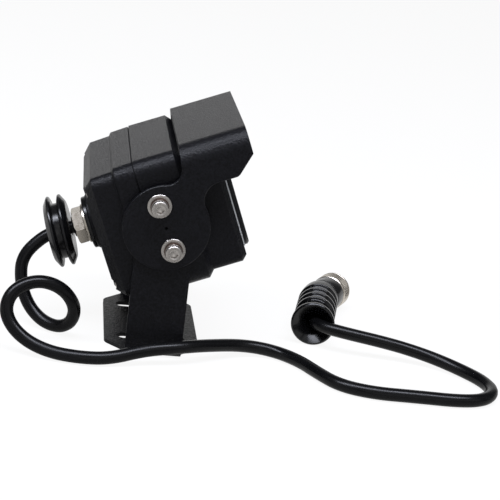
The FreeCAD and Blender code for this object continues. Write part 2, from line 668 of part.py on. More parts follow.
# ------------------------------------------------------------------ the sun hood
def make_hood():
    """A plate bent over the camera, with a round ear on each side that the side screws clamp."""
    body = new_body("hood")
    side_view = new_sketch(body, "YZ")
    hood_outline(side_view)
    outer = S.body_width / 2 + S.joint_gap * 2 + S.bracket_gauge + S.hood_gauge
    pad(body, side_view, outer * 2, both=True)
    top = lies_at("Z", S.hood_top)
    dress(body, "Fillet", S.hood_corner,
          lambda edge: top(edge) and (lies_at("X", outer)(edge) or lies_at("X", -outer)(edge)))
    inner = outer - S.hood_gauge
    hollow = new_sketch(body, "XZ")
    high = (S.hood_top + S.ear_radius + S.hood_corner) / 2
    rounded_box(hollow, inner, high, S.hood_corner - S.hood_gauge, 0, S.hood_top - S.hood_gauge - high)
    pocket(body, hollow, S.hood_front * 3, both=True)
    holes = new_sketch(body, "YZ")
    for up in side_screw_places():
        circle(holes, S.screw_shank / 2 + S.clearance, 0, up)
    circle(holes, S.pivot_dimple / 2)
    pocket(body, holes, outer * 3, both=True)
    rims = [lies_at("X", outer), lies_at("X", -outer)]
    dress(body, "Chamfer", S.hood_edge, lambda edge: any(rim(edge) for rim in rims)
          and edge.BoundBox.DiagonalLength > S.screw_shank.value * 2)
    keep(body, "camera")


def hood_outline(sketch):
    """The hood's side view: the disc of the ear, the plate ahead of it and the round necks between."""
    ear, toe = S.ear_radius, S.hood_toe
    skirt, rear = S.hood_skirt.value, S.hood_rear_low.value
    front_neck, rear_neck = S.neck_front.value, S.neck_rear.value
    # in this view the lens points to -across
    reach = ear.value + front_neck
    front_middle = Vector(-math.sqrt(reach ** 2 - (skirt - front_neck) ** 2), skirt - front_neck, 0)
    reach = ear.value + rear_neck
    rear_middle = Vector(-(rear - rear_neck), math.sqrt(reach ** 2 - (rear - rear_neck) ** 2), 0)
    front_touch = front_middle * (ear.value / (ear.value + front_neck))
    rear_touch = rear_middle * (ear.value / (ear.value + rear_neck))
    tip = Vector(-S.hood_skirt_front.value, skirt, 0)
    nose = Vector(-S.hood_front.value, S.hood_front_low.value, 0)
    slope = (nose - tip).normalize()
    half_turn = (math.pi - slope.getAngle(Vector(1, 0, 0))) / 2
    trim = toe.value * math.tan(half_turn)
    toe_flat, toe_slope = tip + Vector(trim, 0, 0), tip + slope * trim
    toe_middle = toe_flat + Vector(0, toe.value, 0)
    top_rear = Vector(-S.hood_rear.value, S.hood_top.value, 0)
    top_front = Vector(-S.hood_front.value, S.hood_top.value, 0)
    rear_low = Vector(-rear, rear_middle.y, 0)

    def arc(middle, radius, start, end):
        """An arc that runs anticlockwise from start to end."""
        start, end = start - middle, end - middle
        return Part.ArcOfCircle(Part.Circle(middle, UP, radius), math.atan2(start.y, start.x),
                                math.atan2(end.y, end.x))

    pieces = (
        Part.LineSegment(top_rear, top_front),
        Part.LineSegment(top_front, nose),
        Part.LineSegment(nose, toe_slope),
        arc(toe_middle, toe.value, toe_slope, toe_flat),
        Part.LineSegment(toe_flat, Vector(front_middle.x, skirt, 0)),
        arc(front_middle, front_neck, front_touch, Vector(front_middle.x, skirt, 0)),
        arc(Vector(0, 0, 0), ear.value, front_touch, rear_touch),
        arc(rear_middle, rear_neck, rear_low, rear_touch),
        Part.LineSegment(rear_low, top_rear),
    )
    for piece in pieces:
        sketch.addGeometry(piece, False)
    ends = hood_joints(sketch, len(pieces))
    for number, (one, one_end, other, other_end) in enumerate(ends):
        smooth = number in (2, 3, 4, 5, 6)
        kind = "Tangent" if smooth else "Coincident"
        sketch.addConstraint(Sketcher.Constraint(kind, one, one_end, other, other_end))
    sketch.addConstraint(Sketcher.Constraint("Horizontal", 0))
    sketch.addConstraint(Sketcher.Constraint("Vertical", 1))
    sketch.addConstraint(Sketcher.Constraint("Horizontal", 4))
    pin(sketch, 1, 1, -S.hood_front, S.hood_top)
    hold(sketch, "DistanceX", -S.hood_rear, -1, 1, 0, 1)
    hold(sketch, "DistanceY", S.hood_front_low, -1, 1, 1, 2)
    hold(sketch, "Radius", toe, 3)
    hold(sketch, "DistanceX", -S.hood_skirt_front + trim, -1, 1, 4, 1)
    hold(sketch, "DistanceY", S.hood_skirt, -1, 1, 4, 1)
    hold(sketch, "Radius", S.neck_front, 5)
    hold(sketch, "Radius", ear, 6)
    pin(sketch, 6, 3, 0, 0)
    hold(sketch, "Radius", S.neck_rear, 7)
    hold(sketch, "DistanceX", -S.hood_rear_low, -1, 1, 8, 1)
    sketch.addConstraint(Sketcher.Constraint("Horizontal", 7, 3, 8, 1))


def hood_joints(sketch, count):
    """The pairs of ends that meet, found from the drawn geometry because an arc may run either way."""
    pairs = []
    for one in range(count):
        other = (one + 1) % count
        for one_end in (1, 2):
            for other_end in (1, 2):
                if (sketch.getPoint(one, one_end) - sketch.getPoint(other, other_end)).Length < 1e-6:
                    pairs.append((one, one_end, other, other_end))
    if len(pairs) != count:
        raise ValueError("the hood's outline is open")
    return pairs


# ------------------------------------------------------------------ fasteners
def screw_master(label, shank, length, head, head_height, key, key_depth):
    """A cap screw along +Z: its head sits below the origin's plane and its shank above it."""
    body = new_body(label)
    half = new_sketch(body, "XZ")
    bevel = S.head_chamfer
    outline(half, [(0, -head_height), (head / 2 - bevel, -head_height), (head / 2, -head_height + bevel),
                   (head / 2, 0), (shank / 2, 0), (shank / 2, length - bevel), (shank / 2 - bevel, length),
                   (0, length)])
    turn(body, half)
    socket = new_sketch(body, "XY", -head_height)
    hexagon(socket, key)
    pocket(body, socket, key_depth, backward=True)
    return body


def washer_master(label, outside, inside, height, split=None):
    """A washer from the XY plane up; a spring washer has a narrow gap cut in it."""
    body = new_body(label)
    ring = new_sketch(body, "XY")
    circle(ring, outside / 2)
    circle(ring, inside / 2)
    pad(body, ring, height)
    if split is not None:
        gap = new_sketch(body, "XY", height)
        outline(gap, [(0, -split / 2), (outside, -split / 2), (outside, split / 2), (0, split / 2)])
        pocket(body, gap, height)
    return body


def side_places(distance):
    """Both side screws' axes on both sides; +Z of each copy points into the camera."""
    places = []
    for side in (-1, 1):
        for up in side_screw_places():
            places.append(((distance * side, 0, up), Vector(0, 1, 0), -90 * side))
    return places


def make_side_screws():
    """Cap screw, spring washer and flat washer, four times."""
    ear_face = S.body_width / 2 + S.joint_gap * 2 + S.bracket_gauge + S.hood_gauge
    under_head = ear_face + S.flat_washer_height + S.spring_washer_height
    length = under_head - S.body_width / 2 + S.screw_grip
    screw = screw_master("side_screw_pattern", S.screw_shank, length, S.screw_head, S.screw_head_height,
                         S.hex_key, S.hex_depth)
    copies("mount_screws", screw, side_places(under_head), "camera")
    bore = S.screw_shank + S.clearance * 2
    spring = washer_master("spring_washer_pattern", S.spring_washer_width, bore, S.spring_washer_height,
                           S.spring_split)
    copies("spring_washers", spring, side_places(under_head), "camera")
    flat = washer_master("flat_washer_pattern", S.flat_washer_width, bore, S.flat_washer_height)
    copies("flat_washers", flat, side_places(ear_face + S.flat_washer_height), "camera")


def make_case_screws():
    """Four long screws from the back through the rear shell into the front one."""
    screw = screw_master("case_screw_pattern", S.case_screw_shank, S.case_screw_length, S.case_screw_head,
                         S.case_screw_head_height, S.case_key, S.case_key_depth)
    floor = S.rear_reach - sink_depth()
    places = [((across, floor, up), Vector(1, 0, 0), 90) for across, up in case_screw_places()]
    copies("housing_screws", screw, places, "camera")


# ------------------------------------------------------------------ the lens, lamps and boards
def main_board_half():
    """Half the main board's width, which fits between the side screws' bosses."""
    return S.body_width / 2 - boss_depth() - S.clearance


def lamp_board_half():
    """Half the lamp board's width, which fits inside the slim front of the case."""
    return S.body_width / 2 - S.shoulder_drop - S.wall - S.board_gap


def post_places():
    across = main_board_half() - S.post_radius
    return [(across * side, S.post_z * end) for side in (-1, 1) for end in (-1, 1)]


def slab(label, half_wide, half_high, face, gauge, corner, holes=()):
    """A flat plate whose front lies at face ahead of the tilt axis."""
    body = new_body(label)
    shape = new_sketch(body, "XZ", Size.of(face) - gauge)
    rounded_box(shape, half_wide, half_high, corner)
    for radius, across, up in holes:
        circle(shape, radius, across, up)
    pad(body, shape, gauge)
    return keep(body, "camera")


def ring_of(label, outer, inner, start, length):
    """A plain round ring or disc on the camera's middle line."""
    body = new_body(label)
    shape = new_sketch(body, "XZ", start)
    circle(shape, outer)
    if inner is not None:
        circle(shape, inner)
    pad(body, shape, length)
    return body


def make_boards():
    """Lamp board, sensor board and main board with their posts, screws, header and lead plug."""
    screw_hole = S.board_screw_shank / 2 + S.clearance
    post_holes = [(screw_hole, across, up) for across, up in post_places()]
    lens_hole = (S.lens_rim + S.clearance * 2, 0, 0)
    slab("lamp_board", lamp_board_half(), S.lamp_board_height / 2, S.lamp_board_face, S.board_gauge,
         S.board_corner, post_holes + [lens_hole])
    slab("main_board", main_board_half(), S.main_board_height / 2, S.main_board_face, S.board_gauge,
         S.board_corner, post_holes)
    side = S.sensor_board_side / 2
    slab("sensor_board", side, side, S.sensor_face, S.board_gauge, S.board_corner)
    slab("image_sensor", S.sensor_side / 2, S.sensor_side / 2, S.sensor_face + S.sensor_gauge,
         S.sensor_gauge, S.package_corner)
    gap = S.sensor_face - S.board_gauge - S.main_board_face
    slab("board_header", S.header_width / 2, S.header_depth / 2, S.sensor_face - S.board_gauge, gap,
         S.package_corner)
    back = S.main_board_face - S.board_gauge
    slab("lead_plug", S.lead_plug_width / 2, S.lead_plug_height / 2, back, S.lead_plug_length,
         S.package_corner)
    spacer = S.lamp_board_face - S.board_gauge - S.main_board_face
    post = washer_master("standoff_pattern", S.post_radius * 2, S.board_screw_shank + S.thread_gap * 2,
                         spacer)
    places = [((across, -S.main_board_face, up), Vector(1, 0, 0), 90) for across, up in post_places()]
    copies("board_standoffs", post, places, "camera")
    long_screw = S.board_gauge * 2 + spacer + S.board_screw_bite
    screw = screw_master("board_screw_pattern", S.board_screw_shank, long_screw, S.board_screw_head,
                         S.board_screw_head_height, S.board_key, S.board_key_depth)
    places = [((across, -back, up), Vector(1, 0, 0), 90) for across, up in post_places()]
    copies("board_screws", screw, places, "camera")


def make_lens():
    """A threaded lens barrel in its holder, with a front and a rear glass."""
    start = S.lens_front - S.lens_length
    barrel = ring_of("lens_barrel", S.lens_radius, S.lens_bore, start, S.lens_length - S.lens_rim_gauge)
    rim = new_sketch(barrel, "XZ", S.lens_front - S.lens_rim_gauge)
    circle(rim, S.lens_rim)
    circle(rim, S.lens_radius)
    pad(barrel, rim, S.lens_rim_gauge)
    web = new_sketch(barrel, "XZ", S.lens_front - S.lens_rim_gauge)
    circle(web, S.lens_radius + S.lens_bite)
    circle(web, S.lens_bore)
    pad(barrel, web, S.lens_web)
    keep(barrel, "camera")
    dome_glass("lens_front_glass", S.lens_radius - S.glass_slip, S.lens_front - S.front_glass_sink,
               S.front_glass_rise)
    dome_glass("lens_rear_glass", S.lens_bore - S.glass_slip, start + S.rear_glass_sink, S.rear_glass_rise)
    holder = new_body("lens_holder")
    base = new_sketch(holder, "XZ", S.sensor_face)
    rounded_box(base, S.holder_base / 2, S.holder_base / 2, S.board_corner)
    pad(holder, base, S.holder_base_gauge)
    tube = new_sketch(holder, "XZ", S.sensor_face + S.holder_base_gauge)
    circle(tube, S.lens_radius + S.holder_wall)
    pad(holder, tube, S.holder_length)
    bore = new_sketch(holder, "XZ", S.sensor_face)
    circle(bore, S.lens_radius + S.thread_gap)
    pocket(holder, bore, S.holder_length * 2, backward=True)
    keep(holder, "camera")


def dome_glass(label, radius, start, rise):
    """A lens element: a flat back, a straight edge and a domed front."""
    body = new_body(label)
    blank = new_sketch(body, "XZ", start)
    circle(blank, radius)
    pad(body, blank, S.glass_edge)
    crown = new_sketch(body, "XZ", start + S.glass_edge)
    circle(crown, radius - S.thread_gap)
    pad(body, crown, rise)
    dress(body, "Fillet", rise * S.crown_share, lies_at("Y", -(start + S.glass_edge + rise)))
    keep(body, "camera")


def make_lamps():
    """Infrared lamps in blocks either side of the lens, and the light sensor below it."""
    lamp = new_body("lamp_pattern")
    half = new_sketch(lamp, "XZ")
    foot = S.lamp_radius + S.lamp_foot
    outline(half, [(0, 0), (foot, 0), (foot, S.lamp_foot_gauge), (S.lamp_radius, S.lamp_foot_gauge),
                   (S.lamp_radius, S.lamp_length), (0, S.lamp_length)])
    turn(lamp, half)
    dress(lamp, "Fillet", S.lamp_radius * S.crown_share, lies_at("Z", S.lamp_length))
    places = []
    for side in (-1, 1):
        for column in range(3):
            for row in (-1, 0, 1):
                across = (S.lamp_first + S.lamp_pitch * column) * side
                places.append(((across, -S.lamp_board_face, S.lamp_row_pitch * row), Vector(1, 0, 0), 90))
    copies("ir_lamps", lamp, places, "camera")
    eye = new_body("light_sensor")
    spot = new_sketch(eye, "XZ", S.lamp_board_face)
    circle(spot, S.eye_radius, 0, -S.eye_drop)
    pad(eye, spot, S.eye_length)
    keep(eye, "camera")


# ------------------------------------------------------------------ the cable gland
def make_gland():
    """Rubber washer, flanged nickel body, hex nut, seal and the locknut inside the shell."""
    face = S.rear_reach + S.pad_gauge
    flange_back = face + S.gland_washer_gauge
    nut_front = flange_back + S.gland_flange_gauge
    thread = S.gland_thread / 2
    cord = S.cord_width / 2 + S.cord_gap
    inside_end = S.rear_reach - S.wall - S.locknut_gauge - S.gland_tail
    washer = ring_of("gland_washer", S.gland_washer_width / 2, thread + S.thread_gap, -flange_back,
                     S.gland_washer_gauge)
    keep(washer, "camera")
    body = ring_of("gland_body", S.gland_flange_width / 2, cord, -nut_front, S.gland_flange_gauge)
    stem = new_sketch(body, "XZ", -flange_back)
    circle(stem, thread)
    circle(stem, cord)
    pad(body, stem, flange_back - inside_end)
    collar = new_sketch(body, "XZ", -nut_front)
    circle(collar, S.gland_collar / 2)
    circle(collar, S.gland_seal_width / 2 + S.thread_gap)
    pad(body, collar, S.gland_collar_length, backward=True)
    keep(body, "camera")
    nut = new_body("gland_nut")
    hexes = new_sketch(nut, "XZ", -nut_front)
    hexagon(hexes, S.gland_nut_across)
    circle(hexes, S.gland_collar / 2 + S.thread_gap)
    pad(nut, hexes, S.gland_nut_length, backward=True)
    keep(nut, "camera")
    seal = ring_of("gland_seal", S.gland_seal_width / 2, cord, -gland_exit(), S.gland_seal_length)
    keep(seal, "camera")
    locknut = new_body("gland_locknut")
    flats = new_sketch(locknut, "XZ", -(S.rear_reach - S.wall))
    hexagon(flats, S.locknut_across)
    circle(flats, thread + S.thread_gap)
    pad(locknut, flats, S.locknut_gauge)
    keep(locknut, "camera")
    make_inner_lead()


def gland_exit():
    """How far behind the tilt axis the cord leaves the gland."""
    return (S.rear_reach + S.pad_gauge + S.gland_washer_gauge + S.gland_flange_gauge + S.gland_nut_length
            + S.gland_seal_proud)


def make_inner_lead():
    """The cord's own end inside the gland, and its wires on to the plug on the main board."""
    jacket_end = S.rear_reach - S.wall - S.locknut_gauge - S.jacket_tail
    lead = ring_of("inner_lead", S.cord_width / 2, None, -gland_exit(), gland_exit() - jacket_end)
    wires = new_sketch(lead, "XZ", -jacket_end)
    circle(wires, S.wires_width / 2)
    plug_back = S.main_board_face - S.board_gauge - S.lead_plug_length
    pad(lead, wires, plug_back + jacket_end)
    keep(lead, "camera")


# ------------------------------------------------------------------ the cord and its grommet
# Its corners between the one on the gland's axis and the one on the plug's axis: where straight runs meet.
# A standing loop behind the camera, a lift past the bracket's foot, then a wide bend back to the plug.
CORD_ROUTE = (
    (0.0, 49.0, 36.5), (-2.2, 57.4, 27.4), (-5.5, 57.0, 16.8), (-9.5, 53.4, 9.0), (-13.5, 48.4, 4.5),
    (-17.0, 43.2, 2.8), (-20.5, 38.0, 3.5), (-24.0, 33.8, 8.0), (-27.3, 33.4, 16.2),
    (-30.3, 39.6, 24.7), (-33.3, 49.7, 28.1), (-36.4, 58.8, 24.4), (-39.4, 61.9, 17.6),
    (-42.5, 59.2, 11.2), (-45.7, 52.2, 5.8), (-49.2, 42.0, 3.0), (-52.0, 29.8, 2.8), (-51.4, 18.0, 3.1),
    (-46.8, 4.0, 6.0), (-44.9, -9.0, 7.4), (-38.4, -21.3, 6.8), (-27.8, -38.4, 4.3),
    (-28.1, -52.0, 2.9), (-37.7, -62.1, 2.8), (-49.1, -67.9, 2.8), (-61.1, -75.3, 2.8),
    (-66.9, -88.5, 2.8), (-67.6, -106.5, 2.8), (-69.0, -124.0, 2.8), (-66.0, -135.5, 2.8),
    (-56.5, -141.8, 2.8), (-45.5, -140.3, 2.8), (-34.6, -133.2, 3.0), (-26.0, -122.8, 4.2),
    (-21.8, -110.6, 6.2), (-20.1, -98.6, 8.0), (-18.2, -86.6, 9.3), (-13.4, -75.3, 9.85),
)
TURN_SHARE = 0.45


def cord_corners():
    """The whole route: out of the gland, through the hand-placed corners and into the plug's mouth."""
    tilt = math.radians(S.rest_pitch.value)
    back = Vector(0, math.cos(tilt), -math.sin(tilt))
    start = Vector(0, 0, S.pivot_height.value) + back * gland_exit().value
    mouth, along = plug_mouth(), boot_direction()
    return ([start, start + back * S.gland_lead.value] + [Vector(*corner) for corner in CORD_ROUTE]
            + [mouth + along * S.mouth_lead.value, mouth + along * S.throat.value])


def cord_path():
    """Straight runs joined by tangent arcs, each as large as its two runs allow."""
    corners = cord_corners()
    edges, length, radii = [], 0.0, []
    here = corners[0]
    for before, corner, after in zip(corners, corners[1:], corners[2:]):
        incoming, outgoing = (corner - before), (after - corner)
        shorter = min(incoming.Length, outgoing.Length)
        incoming.normalize()
        outgoing.normalize()
        half_turn = incoming.getAngle(outgoing) / 2
        trim = TURN_SHARE * shorter
        radius = trim / math.tan(half_turn)
        entry, leave = corner - incoming * trim, corner + outgoing * trim
        inward = (outgoing - incoming).normalize()
        middle = corner + inward * (radius / math.cos(half_turn) - radius)
        edges.append(Part.LineSegment(here, entry).toShape())
        edges.append(Part.Arc(entry, middle, leave).toShape())
        length += (entry - here).Length + 2 * half_turn * radius
        radii.append(radius)
        here = leave
    edges.append(Part.LineSegment(here, corners[-1]).toShape())
    length += (corners[-1] - here).Length
    return Part.Wire(edges), length, radii


def make_cord():
    """The free cord as one tube."""
    path, length, radii = cord_path()
    first = cord_corners()
    section = Part.Wire(Part.Circle(first[0], first[1] - first[0], S.cord_width.value / 2).toShape())
    tube = doc.addObject("Part::Feature", "cord")
    tube.Label = "cord"
    tube.Shape = path.makePipeShell([section], True, False)
    tube.Placement = Placement()
    expected = math.pi * (S.cord_width.value / 2) ** 2 * length
    print("cord arc radii:", ", ".join(f"{radius:.1f}" for radius in radii))
    print(f"cord length {length:.1f}, volume {tube.Shape.Volume:.0f} against {expected:.0f}")
    NODES.append(tube)


def make_grommet():
    """A rubber grommet with two flanges and a groove for the edge of a drilled panel."""
    body = new_body("cord_grommet")
    half = new_sketch(body, "XZ")
    bore = S.cord_width / 2 + S.grommet_slip
    rim, waist = S.grommet_width / 2, S.grommet_waist / 2
    groove = S.grommet_front
    rear = groove + S.grommet_groove
    end = rear + S.grommet_rear
    bevel, lip = S.grommet_bevel, S.grommet_lip
    outline(half, [(bore, 0), (rim - bevel, 0), (rim, bevel), (rim, groove - lip), (rim - bevel, groove),
                   (waist, groove), (waist, rear), (rim - bevel, rear), (rim, rear + lip),
                   (rim, end - bevel), (rim - bevel, end), (bore, end)])
    turn(body, half)
    start, lead = cord_corners()[:2]
    along = (lead - start).normalize()
    lean = Rotation(Vector(1, 0, 0), S.grommet_droop.value).multVec(along)
    middle = start + along * (S.grommet_near + end / 2).value
    body.Placement = Placement(middle - lean * (end / 2).value, Rotation(UP, lean))
    NODES.append(body)


# ------------------------------------------------------------------ the plug on the cord's far end
def turned_piece(label, points, group="plug"):
    """A round piece about +Z from the points of its half outline."""
    body = new_body(label)
    half = new_sketch(body, "XZ")
    outline(half, points)
    turn(body, half)
    return keep(body, group)


def make_boot():
    """The moulded boot: a flared mouth, ribs, and a short bend up to the shell."""
    rim, neck, rib = S.boot_width / 2, S.boot_neck / 2, S.rib_width / 2
    throat, bevel, edge = S.cord_width / 2 + S.cord_gap, S.boot_rim_bevel, S.rib_bevel
    points = [(throat, S.boot_mouth_depth + S.mouth_step),
              (S.boot_mouth / 2, S.boot_mouth_depth - S.mouth_step), (rim - bevel, 0), (rim, bevel),
              (rim, S.boot_rim), (neck, S.boot_rim + S.boot_flare)]
    for number in range(int(S.rib_count.value)):
        near = S.rib_start + S.rib_pitch * number
        far = near + S.rib_gauge
        points += [(neck, near - S.rib_root), (rib - edge, near), (rib, near + edge), (rib, far - edge),
                   (rib - edge, far), (neck, far + S.rib_root)]
    points += [(neck, S.boot_length), (0, S.boot_length), (0, S.throat), (throat, S.throat)]
    boot = turned_piece("plug_boot", points, "boot")
    angle, radius = boot_bend()
    end = new_sketch(boot, "XY", S.boot_length)
    bind(end, "AttachmentOffset.Base.x", radius)
    circle(end, S.boot_collar / 2, -radius)
    turn(boot, end, angle)


def make_plug():
    """Smooth shell, coupling nut, retaining ring, insert and four pins ahead of the boot."""
    shell, neck = S.shell_width / 2, S.shell_neck / 2
    insert = S.insert_width / 2
    core = insert + S.thread_gap
    neck_end = S.shell_length + S.shell_neck_length - S.ring_gauge * 2
    turned_piece("plug_shell", [(core, 0), (shell, 0), (shell, S.shell_length), (neck, S.shell_length),
                                (neck, neck_end), (core, neck_end)])
    nut, bore, lip = S.nut_width / 2, S.nut_bore / 2, neck + S.nut_gap
    start = S.shell_length + S.thread_gap
    end = start + S.nut_length
    turned_piece("coupling_nut", [(lip, start), (nut - S.nut_bevel, start), (nut, start + S.nut_bevel),
                                  (nut, end - S.nut_bevel), (nut - S.nut_bevel, end), (bore, end),
                                  (bore, start + S.nut_lip), (lip, start + S.nut_lip)])
    clip = start + S.nut_lip + S.nut_gap
    ring = bore - S.ring_slip
    turned_piece("plug_retaining_ring", [(neck, clip), (ring, clip), (ring, clip + S.ring_gauge),
                                         (neck, clip + S.ring_gauge)])
    turned_piece("plug_insert", [(0, 0), (insert, 0), (insert, S.insert_length), (0, S.insert_length)])
    pin_body = new_body("pin_pattern")
    spot = new_sketch(pin_body, "XY")
    circle(spot, S.pin_width / 2)
    pad(pin_body, spot, S.pin_length)
    places = []
    count = int(S.pin_count.value)
    for number in range(count):
        angle = 2 * math.pi * (number + 0.5) / count
        across, up = math.cos(angle), math.sin(angle)
        places.append(((S.pin_circle / 2 * across, S.pin_circle / 2 * up, S.insert_length), UP, 0))
    copies("plug_pins", pin_body, places, "plug")


def check_and_write():
    """Stop on any failed object, then write every node's solids."""
    doc.recompute()
    for thing in doc.Objects:
        if "Invalid" in thing.State or "Error" in thing.State:
            raise ValueError(f"{thing.Name} is {thing.State}")
    os.makedirs("parts", exist_ok=True)
    for node in NODES:
        shape = node.Shape
        if shape.isNull() or not shape.isValid():
            raise ValueError(f"{node.Label} has no valid shape")
        shape.exportStep(os.path.join("parts", node.Label + ".step"))
        print(f"{node.Label:22s} solids {len(shape.Solids):2d}  volume {shape.Volume:10.1f}")


make_bracket()
make_rear_housing()
make_front_housing()
make_gasket()
make_window()
make_hood()
make_side_screws()
make_case_screws()
make_boards()
make_lens()
make_lamps()
make_gland()
make_cord()
make_grommet()
make_boot()
make_plug()
check_and_write()
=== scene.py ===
# %% [markdown]
# # A reversing camera for a truck
#
# A black metal camera hangs between the arms of a bent bracket.  A sun hood wraps over it, a cord leaves
# its back through a gland and a panel grommet, runs over the floor in a loose loop, and ends in a round
# screw plug.  The pieces of known size come ready made from the CAD model.  This lesson gives each of them
# its finish, and makes again the ones whose edges, knurls or curves need more than the CAD model holds.

# %% Load the frame
import json
import math

import bmesh
import bpy
from mathutils import Matrix, Vector


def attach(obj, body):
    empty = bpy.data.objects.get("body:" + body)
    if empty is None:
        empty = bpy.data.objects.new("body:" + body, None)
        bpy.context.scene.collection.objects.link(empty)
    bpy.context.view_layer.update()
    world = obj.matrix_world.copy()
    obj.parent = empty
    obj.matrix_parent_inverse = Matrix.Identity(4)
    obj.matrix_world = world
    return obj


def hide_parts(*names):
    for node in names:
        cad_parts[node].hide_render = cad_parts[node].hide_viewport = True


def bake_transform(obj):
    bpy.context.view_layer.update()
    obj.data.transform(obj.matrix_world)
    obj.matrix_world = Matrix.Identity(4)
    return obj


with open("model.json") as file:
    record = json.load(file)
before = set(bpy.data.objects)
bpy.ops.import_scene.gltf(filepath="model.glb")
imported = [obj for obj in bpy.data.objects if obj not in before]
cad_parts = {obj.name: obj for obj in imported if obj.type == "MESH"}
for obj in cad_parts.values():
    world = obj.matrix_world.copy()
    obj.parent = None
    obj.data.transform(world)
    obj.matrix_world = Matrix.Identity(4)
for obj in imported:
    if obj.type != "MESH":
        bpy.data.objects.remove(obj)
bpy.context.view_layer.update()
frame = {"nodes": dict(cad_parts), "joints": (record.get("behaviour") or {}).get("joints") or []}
nodes = frame["nodes"]
scene = bpy.context.scene
MM = 0.001

# %% [markdown]
# ## The camera
#
# The object is looked at from its side, from a little above, with the camera turned slightly on its own
# axis.  The viewing direction is built from three angles, because those are what a tripod head sets: the
# heading, the dip and the roll.  A long lens far away keeps the perspective as calm as it is in a catalogue.

# %% Place the camera
HEADING, DIP, ROLL = (math.radians(angle) for angle in (7.954, 17.048, 7.2))
AIM = Vector((0.0, -0.04051, 0.03810))
DISTANCE = 0.6524
FOCAL_LENGTH = 107.65

ahead = Vector((math.cos(DIP) * math.cos(HEADING), -math.cos(DIP) * math.sin(HEADING), -math.sin(DIP)))
level = ahead.cross(Vector((0, 0, 1))).normalized()
upright = level.cross(ahead)
right = level * math.cos(ROLL) + upright * math.sin(ROLL)
up = right.cross(ahead)

camera = bpy.data.objects.new("viewpoint", bpy.data.cameras.new("viewpoint"))
scene.collection.objects.link(camera)
facing = Matrix((right, up, -ahead)).transposed().to_4x4()
camera.matrix_world = Matrix.Translation(AIM - ahead * DISTANCE) @ facing
camera.data.lens = FOCAL_LENGTH
camera.data.clip_start, camera.data.clip_end = 0.01, 50.0
scene.camera = camera
scene.view_settings.view_transform = "Standard"
print("camera at, mm:", [round(part / MM, 1) for part in camera.location])

# %% [markdown]
# ## The cord's line
#
# The cord is 5.5 mm across and leaves the gland along its axis.  It drops through a standing loop behind
# the camera, passes the bracket's foot, and comes round in one wide bend to the plug.  It is a NURBS spline
# because that gives one smooth line from a few corner points.  The same corners make the tube in the CAD
# model, so the two lie together.

# %% Draw the cord's line
CORD_WIDTH = 5.5 * MM
TILT = math.radians(22.3)
PIVOT = Vector(frame["joints"][0]["pos_m"])
BACKWARD = Vector((0, math.cos(TILT), -math.sin(TILT)))
GLAND_END = 39.5 * MM
BOOT_HEADING, BOOT_DIP = math.radians(12.5), math.radians(1.494)
BOOT_AXIS = Vector((math.cos(BOOT_HEADING) * math.cos(BOOT_DIP), -math.sin(BOOT_HEADING) * math.cos(BOOT_DIP),
                    -math.sin(BOOT_DIP)))
PLUG_MOUTH = Vector((-10.46, -70.61, 9.709)) * MM

cord_start = PIVOT + BACKWARD * GLAND_END
CORNERS = (
    (0.0, 49.0, 36.5), (-2.2, 57.4, 27.4), (-5.5, 57.0, 16.8), (-9.5, 53.4, 9.0), (-13.5, 48.4, 4.5),
    (-17.0, 43.2, 2.8), (-20.5, 38.0, 3.5), (-24.0, 33.8, 8.0), (-27.3, 33.4, 16.2),
    (-30.3, 39.6, 24.7), (-33.3, 49.7, 28.1), (-36.4, 58.8, 24.4), (-39.4, 61.9, 17.6),
    (-42.5, 59.2, 11.2), (-45.7, 52.2, 5.8), (-49.2, 42.0, 3.0), (-52.0, 29.8, 2.8), (-51.4, 18.0, 3.1),
    (-46.8, 4.0, 6.0), (-44.9, -9.0, 7.4), (-38.4, -21.3, 6.8), (-27.8, -38.4, 4.3),
    (-28.1, -52.0, 2.9), (-37.7, -62.1, 2.8), (-49.1, -67.9, 2.8), (-61.1, -75.3, 2.8),
    (-66.9, -88.5, 2.8), (-67.6, -106.5, 2.8), (-69.0, -124.0, 2.8), (-66.0, -135.5, 2.8),
    (-56.5, -141.8, 2.8), (-45.5, -140.3, 2.8), (-34.6, -133.2, 3.0), (-26.0, -122.8, 4.2),
    (-21.8, -110.6, 6.2), (-20.1, -98.6, 8.0), (-18.2, -86.6, 9.3), (-13.4, -75.3, 9.85),
)
route = [cord_start, cord_start + BACKWARD * 6.4 * MM]
route += [Vector(corner) * MM for corner in CORNERS]
route += [PLUG_MOUTH + BOOT_AXIS * 3.5 * MM, PLUG_MOUTH + BOOT_AXIS * 10.5 * MM]


def new_piece(name, data):
    """Put a mesh or a curve into the scene under a piece's name."""
    piece = bpy.data.objects.new(name, data)
    scene.collection.objects.link(piece)
    return piece


def worked_mesh(piece):
    """The shape that a piece has once its modifiers or its curve settings are worked out, as a plain mesh."""
    bpy.context.view_layer.update()
    graph = bpy.context.evaluated_depsgraph_get()
    return bpy.data.meshes.new_from_object(piece.evaluated_get(graph), preserve_all_data_layers=True,
                                           depsgraph=graph)


line = bpy.data.curves.new("cord_line", "CURVE")
line.dimensions = "3D"
line.resolution_u = 16
spline = line.splines.new("NURBS")
spline.points.add(len(route) - 1)
for spot, corner in zip(spline.points, route):
    spot.co = (*corner, 1.0)
spline.order_u = 3
spline.use_endpoint_u = True
line_piece = new_piece("cord_line", line)
centreline = [vertex.co.copy() for vertex in worked_mesh(line_piece).vertices]

# %% [markdown]
# The tube round that line is the curve's own bevel, made into a mesh.  It has to be a mesh, because one end
# swings with the camera while the rest stays on the floor, and the blend between the two moves its points.
# That blend is short: with the camera tilted fully up it pinches the cord behind the grommet.

